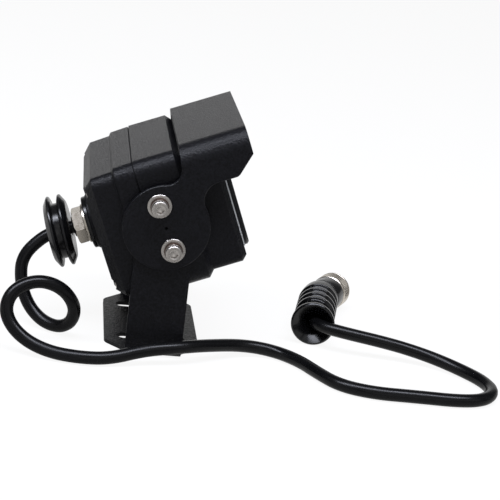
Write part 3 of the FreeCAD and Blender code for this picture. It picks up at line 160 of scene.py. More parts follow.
# %% Make the cord
line.bevel_depth = CORD_WIDTH / 2
line.bevel_resolution = 6
line.use_fill_caps = True
cord = new_piece("power_cord", worked_mesh(line_piece))
bpy.data.objects.remove(line_piece)
cord.data.shade_smooth()
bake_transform(cord)
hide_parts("cord")
print("cord points:", len(cord.data.vertices))

# %% [markdown]
# ## Colours and shader nodes
#
# A paint chart gives colours as sRGB hex values, while shaders count in linear light, so one function turns
# the first into the second.  Another adds a shader node with its settings and links in a single line, which
# keeps each finish short enough to read in one go.

# %% Helpers for the finishes
def linear(chart):
    """A chart's "#rrggbb" as the linear red, green, blue and alpha that shaders use."""
    parts = [int(chart[start:start + 2], 16) / 255 for start in (1, 3, 5)]
    light = [part / 12.92 if part <= 0.04045 else ((part + 0.055) / 1.055) ** 2.4 for part in parts]
    return (*light, 1.0)


def add(tree, kind, inputs=None, **settings):
    """Add one node; inputs holds numbers, or other nodes' outputs, by the socket's name or number."""
    node = tree.nodes.new(kind)
    for name, value in settings.items():
        setattr(node, name, value)
    for name, value in (inputs or {}).items():
        if isinstance(value, bpy.types.NodeSocket):
            tree.links.new(value, node.inputs[name])
        else:
            node.inputs[name].default_value = value
    return node


def begin_finish(name, chart, roughness, **sockets):
    """A Principled shader named for its finish, and every point's place on the object in millimetres."""
    material = bpy.data.materials.new(name)
    material.use_nodes = True
    tree = material.node_tree
    tree.nodes.clear()
    named = {socket.replace("_", " "): value for socket, value in sockets.items()}
    shader = add(tree, "ShaderNodeBsdfPrincipled",
                 {"Base Color": linear(chart), "Roughness": roughness, **named})
    add(tree, "ShaderNodeOutputMaterial", {"Surface": shader.outputs[0]})
    metres = add(tree, "ShaderNodeTexCoord").outputs["Object"]
    place = add(tree, "ShaderNodeMapping", {"Vector": metres, "Scale": (1 / MM,) * 3}).outputs[0]
    return material, tree, shader, place


# nearly all of a noise's values lie between these two
NOISE_LOW, NOISE_HIGH = 0.3, 0.7


def vary(tree, shader, socket, pattern, low, high):
    """Let a pattern move one of the shader's numbers between low and high."""
    spread = add(tree, "ShaderNodeMapRange", {"Value": pattern, "From Min": NOISE_LOW, "From Max": NOISE_HIGH,
                                              "To Min": low, "To Max": high})
    tree.links.new(spread.outputs[0], shader.inputs[socket])


def tint(tree, shader, pattern, dark, light):
    """Let a pattern choose between two colours."""
    mixed = add(tree, "ShaderNodeMix", {0: pattern, 6: linear(dark), 7: linear(light)}, data_type="RGBA")
    tree.links.new(mixed.outputs[2], shader.inputs["Base Color"])


def emboss(tree, shader, pattern, height):
    """Let a pattern stand out of the surface by height, in millimetres."""
    bump = add(tree, "ShaderNodeBump", {"Height": pattern, "Distance": height * MM})
    tree.links.new(bump.outputs[0], shader.inputs["Normal"])


# %% [markdown]
# ## Powder coat
#
# The housing, the hood and the bracket are sheet and cast metal with a baked black powder coat.  The powder
# melts into a fine orange peel, so the coat is even, half matt, and turns pale only where light grazes it.
# Noise moves the height and the roughness together, as each melted grain is a small, slightly glossier hill.
# It also paints the hill tops lighter, a painted highlight where the grains would catch the light.
# The bracket has the coarser, speckled powder that is sold as "fine texture".

# %% Powder coats
def powder_coat(name, dark, light, grain, height, roughness, gloss):
    """A baked powder coat with grains of a given width and height, in millimetres; the grain tops are painted
    lighter, a painted highlight.
    """
    material, tree, shader, place = begin_finish(name, dark, roughness, Specular_IOR_Level=gloss)
    noise = add(tree, "ShaderNodeTexNoise", {"Vector": place, "Scale": 1 / grain, "Detail": 3.0,
                                             "Roughness": 0.62})
    grains = noise.outputs["Fac"]
    # painted highlight: the higher grains get the lighter colour, as if their tops caught the light
    painted_grain_highlight = add(tree, "ShaderNodeMapRange", {"Value": grains, "From Min": 0.36, "From Max": 0.66})
    tint(tree, shader, painted_grain_highlight.outputs[0], dark, light)
    vary(tree, shader, "Roughness", grains, roughness + 0.07, roughness - 0.07)
    emboss(tree, shader, grains, height)
    return material


# real grain is about 0.1 mm; drawn wider so that it shows at this distance
housing_black = powder_coat("housing_powder_coat", "#070709", "#121215", 0.9, 0.26, 0.33, 0.15)
bracket_black = powder_coat("bracket_texture_powder_coat", "#060608", "#121215", 1.0, 0.42, 0.35, 0.14)
bezel_black = powder_coat("bezel_satin_paint", "#0b0b0d", "#101012", 0.4, 0.02, 0.3, 0.25)

# %% [markdown]
# ## Rubber and moulded plastics
#
# Black rubber and black PVC differ mostly in gloss.  The grommet and the washers are moulded rubber with a
# faint bloom that breaks up the shine.  The cord's jacket and the plug's boot are soft PVC, straight from a
# polished die or mould, so they carry sharp, bright reflections on an almost black base.

# %% Rubber and plastics
def moulded(name, dark, light, roughness, ripple, height, **sockets):
    """Rubber or plastic from a mould; ripple is the width of its unevenness in millimetres."""
    material, tree, shader, place = begin_finish(name, dark, roughness, **sockets)
    noise = add(tree, "ShaderNodeTexNoise", {"Vector": place, "Scale": 1 / ripple, "Detail": 2.0})
    tint(tree, shader, noise.outputs["Fac"], dark, light)
    vary(tree, shader, "Roughness", noise.outputs["Fac"], max(roughness - 0.05, 0.05), roughness + 0.08)
    emboss(tree, shader, noise.outputs["Fac"], height)
    return material


black_rubber = moulded("moulded_rubber", "#080809", "#101011", 0.18, 3.0, 0.006, Specular_IOR_Level=0.35)
gasket_rubber = moulded("matt_gasket_rubber", "#070707", "#0f0f10", 0.75, 1.0, 0.02, Specular_IOR_Level=0.2)
cord_pvc = moulded("cord_pvc", "#060607", "#0b0b0c", 0.24, 12.0, 0.002, Specular_IOR_Level=0.18)
plug_pvc = moulded("plug_pvc", "#060607", "#0a0a0b", 0.14, 6.0, 0.001, Specular_IOR_Level=0.32)
insert_nylon = moulded("glass_filled_nylon", "#121213", "#202022", 0.5, 0.5, 0.02)
# the seal is coloured pale to make the thin bright line round the window; that line is partly a painted
# highlight of the bezel's edge
pale_seal_and_painted_highlight = moulded("pale_seal_with_painted_highlight", "#a9aaa8", "#c9cac7", 0.5, 1.0, 0.01)
connector_nylon = moulded("natural_nylon", "#dcd8c9", "#ece9dd", 0.42, 0.8, 0.01)

# %% [markdown]
# ## Metals
#
# The screws are stainless steel, turned on a lathe, and the gland and the coupling nut are nickel-plated
# brass.  Nickel is a little warmer than steel.  The split washers are spring steel, browned by its hardening.
# One fine noise moves the colour, the roughness and the height of each, and stands for the tool's marks.

# %% Metals
def turned_metal(name, dark, light, roughness, mark, height):
    """Bare or plated metal; mark is the width of its tool marks in millimetres."""
    material, tree, shader, place = begin_finish(name, light, roughness, Metallic=1.0)
    marks = add(tree, "ShaderNodeTexNoise",
                {"Vector": place, "Scale": 1 / mark, "Detail": 5.0, "Roughness": 0.7})
    tint(tree, shader, marks.outputs["Fac"], dark, light)
    vary(tree, shader, "Roughness", marks.outputs["Fac"], roughness - 0.07, roughness + 0.10)
    emboss(tree, shader, marks.outputs["Fac"], height)
    return material


nickel = turned_metal("nickel_plate", "#b3aba1", "#cfc8bc", 0.27, 1.6, 0.002)
stainless = turned_metal("stainless_steel", "#aea9a5", "#d8d3ce", 0.27, 0.9, 0.002)
spring_steel = turned_metal("browned_spring_steel", "#4c3a34", "#7c6a62", 0.25, 0.7, 0.004)
brass = turned_metal("bare_brass", "#a98f4e", "#cdb56c", 0.28, 0.8, 0.01)
gold = turned_metal("gold_plate", "#c99a3c", "#e8c46a", 0.2, 0.6, 0.004)
lens_black = moulded("black_anodised_barrel", "#0b0b0c", "#151517", 0.42, 0.3, 0.01)
sensor_black = moulded("sensor_glass_black", "#0a0b10", "#151722", 0.12, 0.4, 0.002)

# %% [markdown]
# ## Glass, lens coating and boards
#
# The window is a plain pane.  The lens elements carry an anti-reflection coat, a film a third of a
# micrometre thick that colours their reflections, and the shader has that film built in.  The boards are
# glass-epoxy with solder mask; copper tracks a third of a millimetre wide lie just under it.

# %% Glass, epoxy and boards
def clear(name, chart, roughness, **sockets):
    """Glass or clear epoxy; faint smears move its roughness."""
    material, tree, shader, place = begin_finish(name, chart, roughness, Transmission_Weight=1.0, **sockets)
    smears = add(tree, "ShaderNodeTexNoise", {"Vector": place, "Scale": 0.12, "Detail": 3.0})
    vary(tree, shader, "Roughness", smears.outputs["Fac"], roughness, roughness + 0.03)
    return material


def circuit_board(name, mask, track):
    """Solder mask over copper tracks 0.35 mm wide and about 2.2 mm apart."""
    material, tree, shader, place = begin_finish(name, mask, 0.35)
    cells = add(tree, "ShaderNodeTexVoronoi", {"Vector": place, "Scale": 1 / 2.2},
                feature="DISTANCE_TO_EDGE", distance="EUCLIDEAN")
    on_track = add(tree, "ShaderNodeMath", {0: cells.outputs["Distance"], 1: 0.08}, operation="LESS_THAN")
    tint(tree, shader, on_track.outputs[0], mask, track)
    emboss(tree, shader, on_track.outputs[0], 0.03)
    return material


window_glass = clear("window_glass", "#eef3f1", 0.0, IOR=1.52)
lens_glass = clear("coated_lens_glass", "#e9eef4", 0.0, IOR=1.6, Thin_Film_Thickness=360.0,
                   Thin_Film_IOR=1.38)
lamp_epoxy = clear("lamp_epoxy", "#d9dde6", 0.05, IOR=1.54)
board_green = circuit_board("solder_mask_green", "#0d3320", "#1a5233")
board_black = circuit_board("solder_mask_black", "#101212", "#1d2120")

# %% [markdown]
# ## Finishes for the pieces that stay
#
# Most of the inside, the window, its seal and the gasket need nothing but their finish, so they stay as the
# CAD model made them and only get their material.

# %% Give each CAD piece its finish
FINISHES = {
    gasket_rubber: ("housing_gasket",),
    pale_seal_and_painted_highlight: ("window_seal",),
    window_glass: ("window_glass",),
    lens_glass: ("lens_front_glass", "lens_rear_glass"),
    lens_black: ("lens_barrel", "lens_holder"),
    sensor_black: ("image_sensor", "light_sensor"),
    board_black: ("lamp_board",),
    board_green: ("main_board", "sensor_board"),
    connector_nylon: ("board_header", "lead_plug"),
    brass: ("board_standoffs",),
    nickel: ("gland_locknut",),
    stainless: ("plug_retaining_ring",),
    cord_pvc: ("inner_lead",),
    insert_nylon: ("plug_insert",),
}


def finish_with(piece, material):
    """One material all over a piece."""
    piece.data.materials.clear()
    piece.data.materials.append(material)


for material, names in FINISHES.items():
    for name in names:
        finish_with(nodes[name], material)
finish_with(cord, cord_pvc)
print("finished CAD pieces:", sum(len(names) for names in FINISHES.values()), "of", len(nodes))

# %% [markdown]
# ## Soft edges
#
# No real edge is perfectly sharp: cast and folded metal ends in a small round that catches a line of light.
# The CAD meshes are loose triangles, so a copy is joined up first, its flat faces are made whole, and a
# Bevel modifier then rounds every sharp edge.  Weighted normals keep the flat faces flat.

# %% Round the edges of the metal pieces
def polish(mesh, angle=35):
    """Shade a mesh smooth, apart from edges sharper than an angle in degrees."""
    mesh.shade_smooth()
    mesh.set_sharp_from_angle(angle=math.radians(angle))


def joined_copy(node, name):
    """A copy of a CAD node with its triangles joined and its flat faces made whole."""
    mesh = bpy.data.meshes.new(name)
    work = bmesh.new()
    work.from_mesh(nodes[node].data)
    bmesh.ops.remove_doubles(work, verts=work.verts, dist=0.001 * MM)
    bmesh.ops.dissolve_limit(work, angle_limit=math.radians(1), verts=work.verts, edges=work.edges)
    work.to_mesh(mesh)
    work.free()
    return new_piece(name, mesh)


def stand_in(piece, body, node, material):
    """Let a finished piece ride on a body in place of a CAD node, with its finish."""
    finish_with(piece, material)
    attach(piece, body)
    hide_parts(node)
    return piece


def soften(node, name, body, material, width, sharpest=50):
    """Round the edges of a CAD node that are sharper than an angle, by a width in millimetres."""
    piece = joined_copy(node, name)
    rounding = piece.modifiers.new("edges", "BEVEL")
    rounding.width = width * MM
    rounding.segments = 3
    rounding.limit_method = "ANGLE"
    rounding.angle_limit = math.radians(sharpest)
    rounding.use_clamp_overlap = True
    polish(piece.data, 30)
    piece.modifiers.new("normals", "WEIGHTED_NORMAL").keep_sharp = True
    shape = worked_mesh(piece)
    piece.modifiers.clear()
    piece.data = shape
    print(name, "faces:", len(shape.polygons))
    return stand_in(piece, body, node, material)


soften("front_housing", "front_shell", "camera", housing_black, 0.35, 40)
soften("rear_housing", "rear_shell", "camera", housing_black, 0.35, 40)
soften("hood", "sun_hood", "camera", housing_black, 0.15)
soften("bracket", "u_bracket", "bracket", bracket_black, 0.25)
soften("front_bezel", "window_bezel", "camera", bezel_black, 0.2)

# %% [markdown]
# ## Round pieces, as a lathe makes them
#
# Everything round is drawn as half an outline: how far along the axis, how far from it, and how much that
# corner is rounded over, all in millimetres.  Spinning the outline gives the piece.  A fourth number cuts
# grip ridges: every second line of points is drawn in by that much.

# %% The lathe
def eased(outline):
    """The outline with each corner replaced by a short curve of its own size."""
    line = []
    for index, (along, radius, *rest) in enumerate(outline):
        ease, grip = (rest + [0, 0])[:2]
        here = Vector((along, radius))
        ends = [Vector(outline[index - 1][:2]), Vector(outline[(index + 1) % len(outline)][:2])]
        if not ease:
            line.append((along, radius, grip))
            continue
        entry, leave = (here + (end - here) * min(ease / (end - here).length, 0.45) for end in ends)
        for step in range(5):
            t = step / 4
            spot = entry * (1 - t) ** 2 + here * 2 * t * (1 - t) + leave * t ** 2
            line.append((*spot, grip))
    return line


def straight(start, axis, side):
    """A frame for the lathe that runs along one straight axis: the middle and two directions across it."""
    side = (side - axis * side.dot(axis)).normalized()
    return lambda along: (start + axis * along * MM, side, axis.cross(side))


def turned(name, outline, frame_at, steps=96):
    """Spin a closed half outline about the line that frame_at gives."""
    work = bmesh.new()
    profile = eased(outline)
    rows = []
    for along, radius, grip in profile:
        middle, side, other = frame_at(along)
        row = []
        for step in range(steps):
            angle = 2 * math.pi * step / steps
            reach = (radius - grip * (step % 2)) * MM
            row.append(work.verts.new(middle + (side * math.cos(angle) + other * math.sin(angle)) * reach))
        rows.append(row)
    for row, following in zip(rows, rows[1:] + rows[:1]):
        for step in range(steps):
            after = (step + 1) % steps
            work.faces.new((row[step], row[after], following[after], following[step]))
    bmesh.ops.remove_doubles(work, verts=work.verts, dist=0.0005 * MM)
    bmesh.ops.recalc_face_normals(work, faces=work.faces)
    mesh = bpy.data.meshes.new(name)
    work.to_mesh(mesh)
    work.free()
    polish(mesh, 32)
    return new_piece(name, mesh)


# %% [markdown]
# ## The gland and the grommet
#
# The gland's flange, collar and seal are turned.  Its nut is a hexagonal bar turned down at both ends, so it
# is made that way: a hexagonal prism and a turned blank, of which only the common part is kept.  That gives
# the curved edges where the chamfer runs out on the flats.  The grommet is thick rubber with a deep groove.

# %% Make the gland and the grommet
gland = straight(PIVOT, BACKWARD, Vector((1, 0, 0)))
CORD_BORE = 2.87


def hexagonal_bar(name, across_flats, start, end, frame_at, point=0.0):
    """A hexagonal prism along the lathe's line, in millimetres; its far end may come to a point."""
    work = bmesh.new()
    rings = []
    for along in (start, end):
        middle, side, other = frame_at(along)
        reach = across_flats / math.sqrt(3) * MM
        turns = [math.pi / 3 * corner for corner in range(6)]
        rings.append([work.verts.new(middle + (side * math.cos(turn) + other * math.sin(turn)) * reach)
                      for turn in turns])
    for corner in range(6):
        after = (corner + 1) % 6
        work.faces.new((rings[0][corner], rings[0][after], rings[1][after], rings[1][corner]))
    work.faces.new(rings[0])
    tip = work.verts.new(frame_at(end + point)[0])
    for corner in range(6):
        work.faces.new((rings[1][corner], rings[1][(corner + 1) % 6], tip))
    bmesh.ops.recalc_face_normals(work, faces=work.faces)
    mesh = bpy.data.meshes.new(name)
    work.to_mesh(mesh)
    work.free()
    return new_piece(name, mesh)


def carve(piece, tool, operation):
    """Cut one piece with another, then put the tool away."""
    cut = piece.modifiers.new("cut", "BOOLEAN")
    cut.operation, cut.object, cut.solver = operation, tool, "EXACT"
    shape = worked_mesh(piece)
    piece.modifiers.clear()
    piece.data = shape
    bpy.data.objects.remove(tool)
    polish(piece.data, 28)
    return piece


washer = turned("rubber_gland_washer", [
    (31.3, 6.05), (31.3, 11.3, 0.2), (33.0, 11.3, 0.6), (33.0, 6.05)], gland)
stand_in(washer, "camera", "gland_washer", black_rubber)

stem = turned("flanged_gland_body", [
    (22.3, CORD_BORE), (22.3, 6.0, 0.2), (33.0, 6.0), (33.0, 8.5, 0.15), (34.2, 8.5, 0.35), (34.2, 5.4),
    (37.8, 5.4, 0.2), (37.8, 4.55), (34.2, 4.55), (34.2, CORD_BORE)], gland)
stand_in(stem, "camera", "gland_body", nickel)

bar = hexagonal_bar("gland_hex_nut", 14.0, 34.2, 38.6, gland)
blank = turned("nut_blank", [
    (34.1, 5.45), (34.1, 7.3), (35.0, 8.5), (37.8, 8.5), (38.7, 7.2), (38.7, 5.45)], gland)
stand_in(carve(bar, blank, "INTERSECT"), "camera", "gland_nut", nickel)

seal = turned("gland_seal_ring", [
    (35.9, CORD_BORE), (35.9, 4.5), (39.5, 4.5, 0.6), (39.5, CORD_BORE, 0.4)], gland)
stand_in(seal, "camera", "gland_seal", gasket_rubber)

GROMMET_DIP = math.radians(18.3)
GROMMET_AXIS = Vector((0, math.cos(GROMMET_DIP), -math.sin(GROMMET_DIP)))
grommet_foot = cord_start + (BACKWARD * 5.8 - GROMMET_AXIS * 4.8) * MM
grommet = turned("panel_grommet", [
    (0.0, 3.35, 0.4), (0.0, 12.2, 0.5), (2.0, 15.5, 0.5), (2.9, 15.3, 0.3),
    (3.5, 13.8, 0.3), (3.5, 12.0, 0.3), (6.1, 12.0, 0.3), (6.1, 13.8, 0.3),
    (6.7, 15.3, 0.3), (7.6, 15.5, 0.5), (9.6, 12.2, 0.5), (9.6, 3.35, 0.4)],
    straight(grommet_foot, GROMMET_AXIS, Vector((1, 0, 0))), 128)
stand_in(grommet, "camera", "cord_grommet", black_rubber)
print("gland nut faces:", len(bar.data.polygons))

# %% [markdown]
# ## The plug
#
# The boot is moulded over the cord: a flared mouth, four ribs to bend at, and a collar.  It turns by about
# fifteen degrees on its way to the shell, so its lathe line is straight first and an arc at the end.  The
# shell has two thin grooves, and the coupling nut has 72 straight ridges to grip.

# %% Make the plug
BEND_START, BEND_RUN, BEND = 35.4, 4.0, math.radians(15.5)
bend_radius = BEND_RUN / BEND
boot_side = BOOT_AXIS.cross(Vector((0, 0, 1))).normalized()
boot_downward = BOOT_AXIS.cross(boot_side)


def boot_line(along):
    """The boot's line: straight up to the bend, then round an arc."""
    angle = max(along - BEND_START, 0.0) / bend_radius
    shift, reach = bend_radius * (1 - math.cos(angle)), min(along, BEND_START) + bend_radius * math.sin(angle)
    middle = PLUG_MOUTH + (boot_side * shift + BOOT_AXIS * reach) * MM
    return middle, boot_side * math.cos(angle) - BOOT_AXIS * math.sin(angle), boot_downward


BEND_END = BEND_START + BEND_RUN
NECK, RIB = 7.7, 9.1
boot_outline = [(10.5, 0.0), (10.5, CORD_BORE), (5.8, CORD_BORE, 0.3), (3.4, 4.9, 0.5), (0.0, 8.8, 0.25),
                (0.7, 9.65, 0.35), (2.4, 9.65, 0.6), (4.8, NECK, 1.2)]
for number in range(4):
    near = 12.0 + 6.9 * number
    boot_outline += [(near - 0.8, NECK, 0.5), (near, RIB, 0.35), (near + 1.8, RIB, 0.35),
                     (near + 2.6, NECK, 0.3)]
boot_outline += [(BEND_START, NECK), (BEND_START, 8.8, 0.3), (BEND_START + 1.3, 8.8), (BEND_START + 2.6, 8.8),
                 (BEND_END, 8.8, 0.3), (BEND_END, 0.0)]
boot = turned("ribbed_boot", boot_outline, boot_line, 112)
stand_in(boot, "bracket", "plug_boot", plug_pvc)

shell_start, shell_side, _ = boot_line(BEND_END)
SHELL_AXIS = Vector(frame["joints"][1]["axis"])
plug_line = straight(shell_start, SHELL_AXIS, shell_side)
shell_outline = [(0.0, 4.85), (0.0, 8.0, 0.25)]
for near in (1.3, 3.1):
    shell_outline += [(near, 8.0, 0.1), (near + 0.1, 7.6), (near + 0.6, 7.6), (near + 0.7, 8.0, 0.1)]
shell_outline += [(11.2, 8.0, 0.5), (11.2, 5.8), (15.8, 5.8, 0.2), (15.8, 4.85)]
shell = turned("plug_sleeve", shell_outline, plug_line)
stand_in(shell, "bracket", "plug_shell", plug_pvc)

RIDGE = 0.2
nut = turned("ridged_coupling_nut", [
    (11.25, 5.85), (11.25, 7.8, 0.1), (11.65, 8.2, 0.1), (12.4, 8.2, 0.1), (12.6, 8.2, 0, RIDGE),
    (18.5, 8.2, 0, RIDGE), (18.7, 8.2, 0.1), (19.3, 8.2, 0.1), (19.85, 7.7, 0.1), (19.85, 6.7, 0.1),
    (12.85, 6.7), (12.85, 5.85)], plug_line, 144)
stand_in(nut, "coupling_nut", "coupling_nut", nickel)
print("plug ends at, mm:", [round(part / MM, 1) for part in plug_line(19.85)[0]])

# %% [markdown]
# ## Screws, washers, lamps and pins
#
# Each of these is one pattern set down several times.  A Geometry Nodes tree does the setting: it reads the
# places from a mesh of loose points, and each point carries its own turn as a named attribute.  The result
# is made into plain geometry, as one piece for each kind.

# %% The tree that sets copies on points
repeats = bpy.data.node_groups.new("set_on_points", "GeometryNodeTree")
face = repeats.interface
face.new_socket("Points", in_out="INPUT", socket_type="NodeSocketGeometry")
PATTERN = face.new_socket("Pattern", in_out="INPUT", socket_type="NodeSocketObject").identifier
FINISH = face.new_socket("Finish", in_out="INPUT", socket_type="NodeSocketMaterial").identifier
face.new_socket("Copies", in_out="OUTPUT", socket_type="NodeSocketGeometry")
given = add(repeats, "NodeGroupInput")
turn = add(repeats, "GeometryNodeInputNamedAttribute", {"Name": "turn"}, data_type="FLOAT_VECTOR")
rotation = add(repeats, "FunctionNodeEulerToRotation", {0: turn.outputs["Attribute"]})
pattern_shape = add(repeats, "GeometryNodeObjectInfo", {"Object": given.outputs["Pattern"]})
placed = add(repeats, "GeometryNodeInstanceOnPoints", {
    "Points": given.outputs["Points"], "Instance": pattern_shape.outputs["Geometry"],
    "Rotation": rotation.outputs[0]})
real = add(repeats, "GeometryNodeRealizeInstances", {"Geometry": placed.outputs[0]})
painted = add(repeats, "GeometryNodeSetMaterial", {
    "Geometry": real.outputs[0], "Material": given.outputs["Finish"]})
add(repeats, "NodeGroupOutput", {"Copies": painted.outputs[0]})


def set_on_points(name, pattern, places, body, node, material):
    """One piece made of copies of a pattern; places are pairs of a point and a 3 x 3 turn."""
    cloud = bpy.data.meshes.new(name)
    cloud.from_pydata([spot for spot, _ in places], [], [])
    turns = cloud.attributes.new("turn", "FLOAT_VECTOR", "POINT")
    for item, (_, matrix) in zip(turns.data, places):
        item.vector = matrix.to_euler()
    piece = new_piece(name, cloud)
    copier = piece.modifiers.new("copies", "NODES")
    copier.node_group = repeats
    copier[PATTERN], copier[FINISH] = pattern, material
    shape = worked_mesh(piece)
    piece.modifiers.clear()
    piece.data = shape
    bpy.data.objects.remove(pattern)
    print(name, "copies:", len(places), "faces:", len(shape.polygons))
    return stand_in(piece, body, node, material)


# %% [markdown]
# The patterns stand on the world's origin and point along +Z.  The camera's own frame is the tilt axis,
# pitched up by its resting angle.  Every place but the pins' is given in it: across, backward and up.

# %% Set down the repeated pieces
upward = straight(Vector((0, 0, 0)), Vector((0, 0, 1)), Vector((1, 0, 0)))
pitched = Matrix.Rotation(-TILT, 3, "X")


def cap_screw(name, shank, length, head, head_height, key, key_depth):
    """A cap screw with a dished, hexagonal socket; its shank runs up.  Shank, head and key are widths."""
    top, dish = -head_height, key * 0.5
    screw = turned(name, [
        (top + dish * 0.2, 0.0), (top + dish * 0.2, dish), (top, dish * 1.4, 0.1),
        (top, head / 2, head * 0.1), (0.0, head / 2, 0.08), (0.0, shank / 2),
        (length - shank * 0.15, shank / 2),
        (length, shank * 0.35), (length, 0.0)], upward, 48)
    return carve(screw, hexagonal_bar("key", key, top - 1, top + key_depth, upward, key * 0.25), "DIFFERENCE")


def in_camera(across, backward, up, turn):
    """A place and a turn given in the camera's own frame."""
    return PIVOT + pitched @ Vector((across, backward, up)) * MM, pitched @ turn


# half the distance between the two screws of a side, and how far out the heads and the washers sit
SIDE_SCREW_RISE, HEAD_SEAT, WASHER_SEAT = 9.75, 42.7, 41.6


def side_places(distance):
    """The four side screws' places, pointing into the camera."""
    return [in_camera(distance * side, 0, SIDE_SCREW_RISE * end,
                      Matrix.Rotation(math.radians(-90 * side), 3, "Y"))
            for side in (-1, 1) for end in (-1, 1)]


def split_ring(name, inside, outside, height, gap, rise):
    """A spring washer: a square wire bent to a ring whose two ends stand a little apart."""
    work = bmesh.new()
    steps = 56
    rings = []
    for step in range(steps + 1):
        share = step / steps
        angle = math.radians(gap / 2 + (360 - gap) * share)
        lift = rise * (share - 0.5)
        corners = ((inside, 0.1), (outside, 0.1), (outside, height - 0.1), (inside, height - 0.1))
        rings.append([work.verts.new(Vector((
            math.cos(angle) * radius, math.sin(angle) * radius, up + lift)) * MM) for radius, up in corners])
    for ring, following in zip(rings, rings[1:]):
        for corner in range(4):
            after = (corner + 1) % 4
            work.faces.new((ring[corner], ring[after], following[after], following[corner]))
    work.faces.new(rings[0])
    work.faces.new(rings[-1])
    bmesh.ops.recalc_face_normals(work, faces=work.faces)
    mesh = bpy.data.meshes.new(name)
    work.to_mesh(mesh)
    work.free()
    polish(mesh)
    return new_piece(name, mesh)


forward = Matrix.Rotation(math.radians(90), 3, "X")
corners = [(side, end) for side in (-1, 1) for end in (-1, 1)]
# each kind's place across, backward and up; the lamps' first column, column step, place backward and row step
CASE_SCREW, BOARD_SCREW = (28.6, 24.9, 20.0), (26.7, 3.2, 13.0)
LAMP_FIRST, LAMP_STEP, LAMP_FOOT, LAMP_ROW = 11.4, 5.4, -20.4, 5.8
case_places, board_places = (
    [in_camera(wide * side, backward, high * end, forward) for side, end in corners]
    for wide, backward, high in (CASE_SCREW, BOARD_SCREW))
lamp_places = [in_camera((LAMP_FIRST + LAMP_STEP * column) * side, LAMP_FOOT, LAMP_ROW * row, forward)
               for side in (-1, 1) for column in range(3) for row in (-1, 0, 1)]

set_on_points("side_cap_screws", cap_screw("screw", 4.0, 11.7, 7.0, 4.0, 3.0, 2.2), side_places(HEAD_SEAT),
              "camera", "mount_screws", stainless)
set_on_points("split_washers", split_ring("ring", 2.2, 3.8, 1.1, 14, 0.16), side_places(HEAD_SEAT),
              "camera", "spring_washers", spring_steel)
flat = turned("flat", [(0.0, 2.2), (0.0, 5.0, 0.6), (0.8, 5.0, 0.1), (0.8, 2.2)], upward, 64)
set_on_points("plain_washers", flat, side_places(WASHER_SEAT),
              "camera", "flat_washers", stainless)
set_on_points("case_cap_screws", cap_screw("screw", 3.0, 30.0, 5.5, 2.6, 2.0, 1.4), case_places,
              "camera", "housing_screws", stainless)
set_on_points("board_cap_screws", cap_screw("screw", 2.0, 26.6, 3.6, 1.4, 1.3, 0.8), board_places,
              "camera", "board_screws", stainless)
dome = turned("dome", [
    (0.0, 0.0), (0.0, 2.75, 0.1), (0.8, 2.75, 0.1), (0.8, 2.5), (2.4, 2.5), (3.3, 2.2, 0.5),
    (4.0, 1.3, 0.6), (4.2, 0.3, 0.2), (4.2, 0.0)], upward, 40)
set_on_points("infrared_lamps", dome, lamp_places, "camera", "ir_lamps", lamp_epoxy)

# where the pins start along the plug's line, and their distance from it
PIN_FOOT, PIN_CIRCLE = 13.5, 2.5
face_middle, across, other = plug_line(PIN_FOOT)
plug_turn = Matrix((across, other, SHELL_AXIS)).transposed()
pin_places = []
for number in range(4):
    angle = math.pi / 2 * (number + 0.5)
    spot = face_middle + (across * math.cos(angle) + other * math.sin(angle)) * PIN_CIRCLE * MM
    pin_places.append((spot, plug_turn))
pin = turned("pin", [(0.0, 0.0), (0.0, 0.6), (4.6, 0.6, 0.3), (5.0, 0.25, 0.1), (5.0, 0.0)], upward, 24)
pins = set_on_points("contact_pins", pin, pin_places, "bracket", "plug_pins", gold)

# %% [markdown]

# %% [markdown]
# ## The floor, the lamps and the room
#
# A pale floor carries a soft shadow.  One wide lamp overhead does most of the lighting, and a narrow
# strip beside it draws thin lines of light on ribs and edges.  The room is white to the eye and nearly white
# in reflections on the far side.  It falls off on the near side, as a studio does behind the viewer, and that
# keeps black faces black.

# %% Build the studio
def area_lamp(name, spot, aim, width, depth, power):
    """A rectangular lamp, in metres and watts; its width runs along Y, almost level."""
    data = bpy.data.lights.new(name, "AREA")
    data.shape, data.size, data.size_y, data.energy = "RECTANGLE", width, depth, power
    data.color = linear("#edf1ff")[:3]
    lamp = bpy.data.objects.new(name, data)
    scene.collection.objects.link(lamp)
    beam = (Vector(aim) - Vector(spot)).normalized()
    across = Vector((0, 1, 0)).cross(beam).normalized()
    facing = Matrix((beam.cross(across), across, -beam)).transposed().to_4x4()
    lamp.matrix_world = Matrix.Translation(spot) @ facing


area_lamp("overhead", (-0.32, 0.1, 1.0), (0.0, -0.03, 0.05), 1.5, 0.45, 17.0)
area_lamp("strip", (-0.3, 0.1, 0.95), (0.0, -0.03, 0.05), 1.5, 0.07, 7.0)

floor_mesh = bpy.data.meshes.new("floor")
FLOOR_HALF, FLOOR_HEIGHT = 4.0, -0.1 * MM
floor_mesh.from_pydata([(x * FLOOR_HALF, y * FLOOR_HALF, FLOOR_HEIGHT)
                        for x, y in ((-1, -1), (1, -1), (1, 1), (-1, 1))], [], [(0, 1, 2, 3)])
floor = new_piece("floor", floor_mesh)


def seen_directly(tree):
    """Two outputs: 1 for a ray from the eye or one that a piece mirrors or passes on; 1 for the eye alone."""
    path = add(tree, "ShaderNodeLightPath")
    both = add(tree, "ShaderNodeMath", {0: path.outputs["Is Camera Ray"], 1: path.outputs["Is Glossy Ray"]},
               operation="MAXIMUM")
    return add(tree, "ShaderNodeMath", {0: both.outputs[0], 1: path.outputs["Is Transmission Ray"]},
               operation="MAXIMUM").outputs[0], path.outputs["Is Camera Ray"]


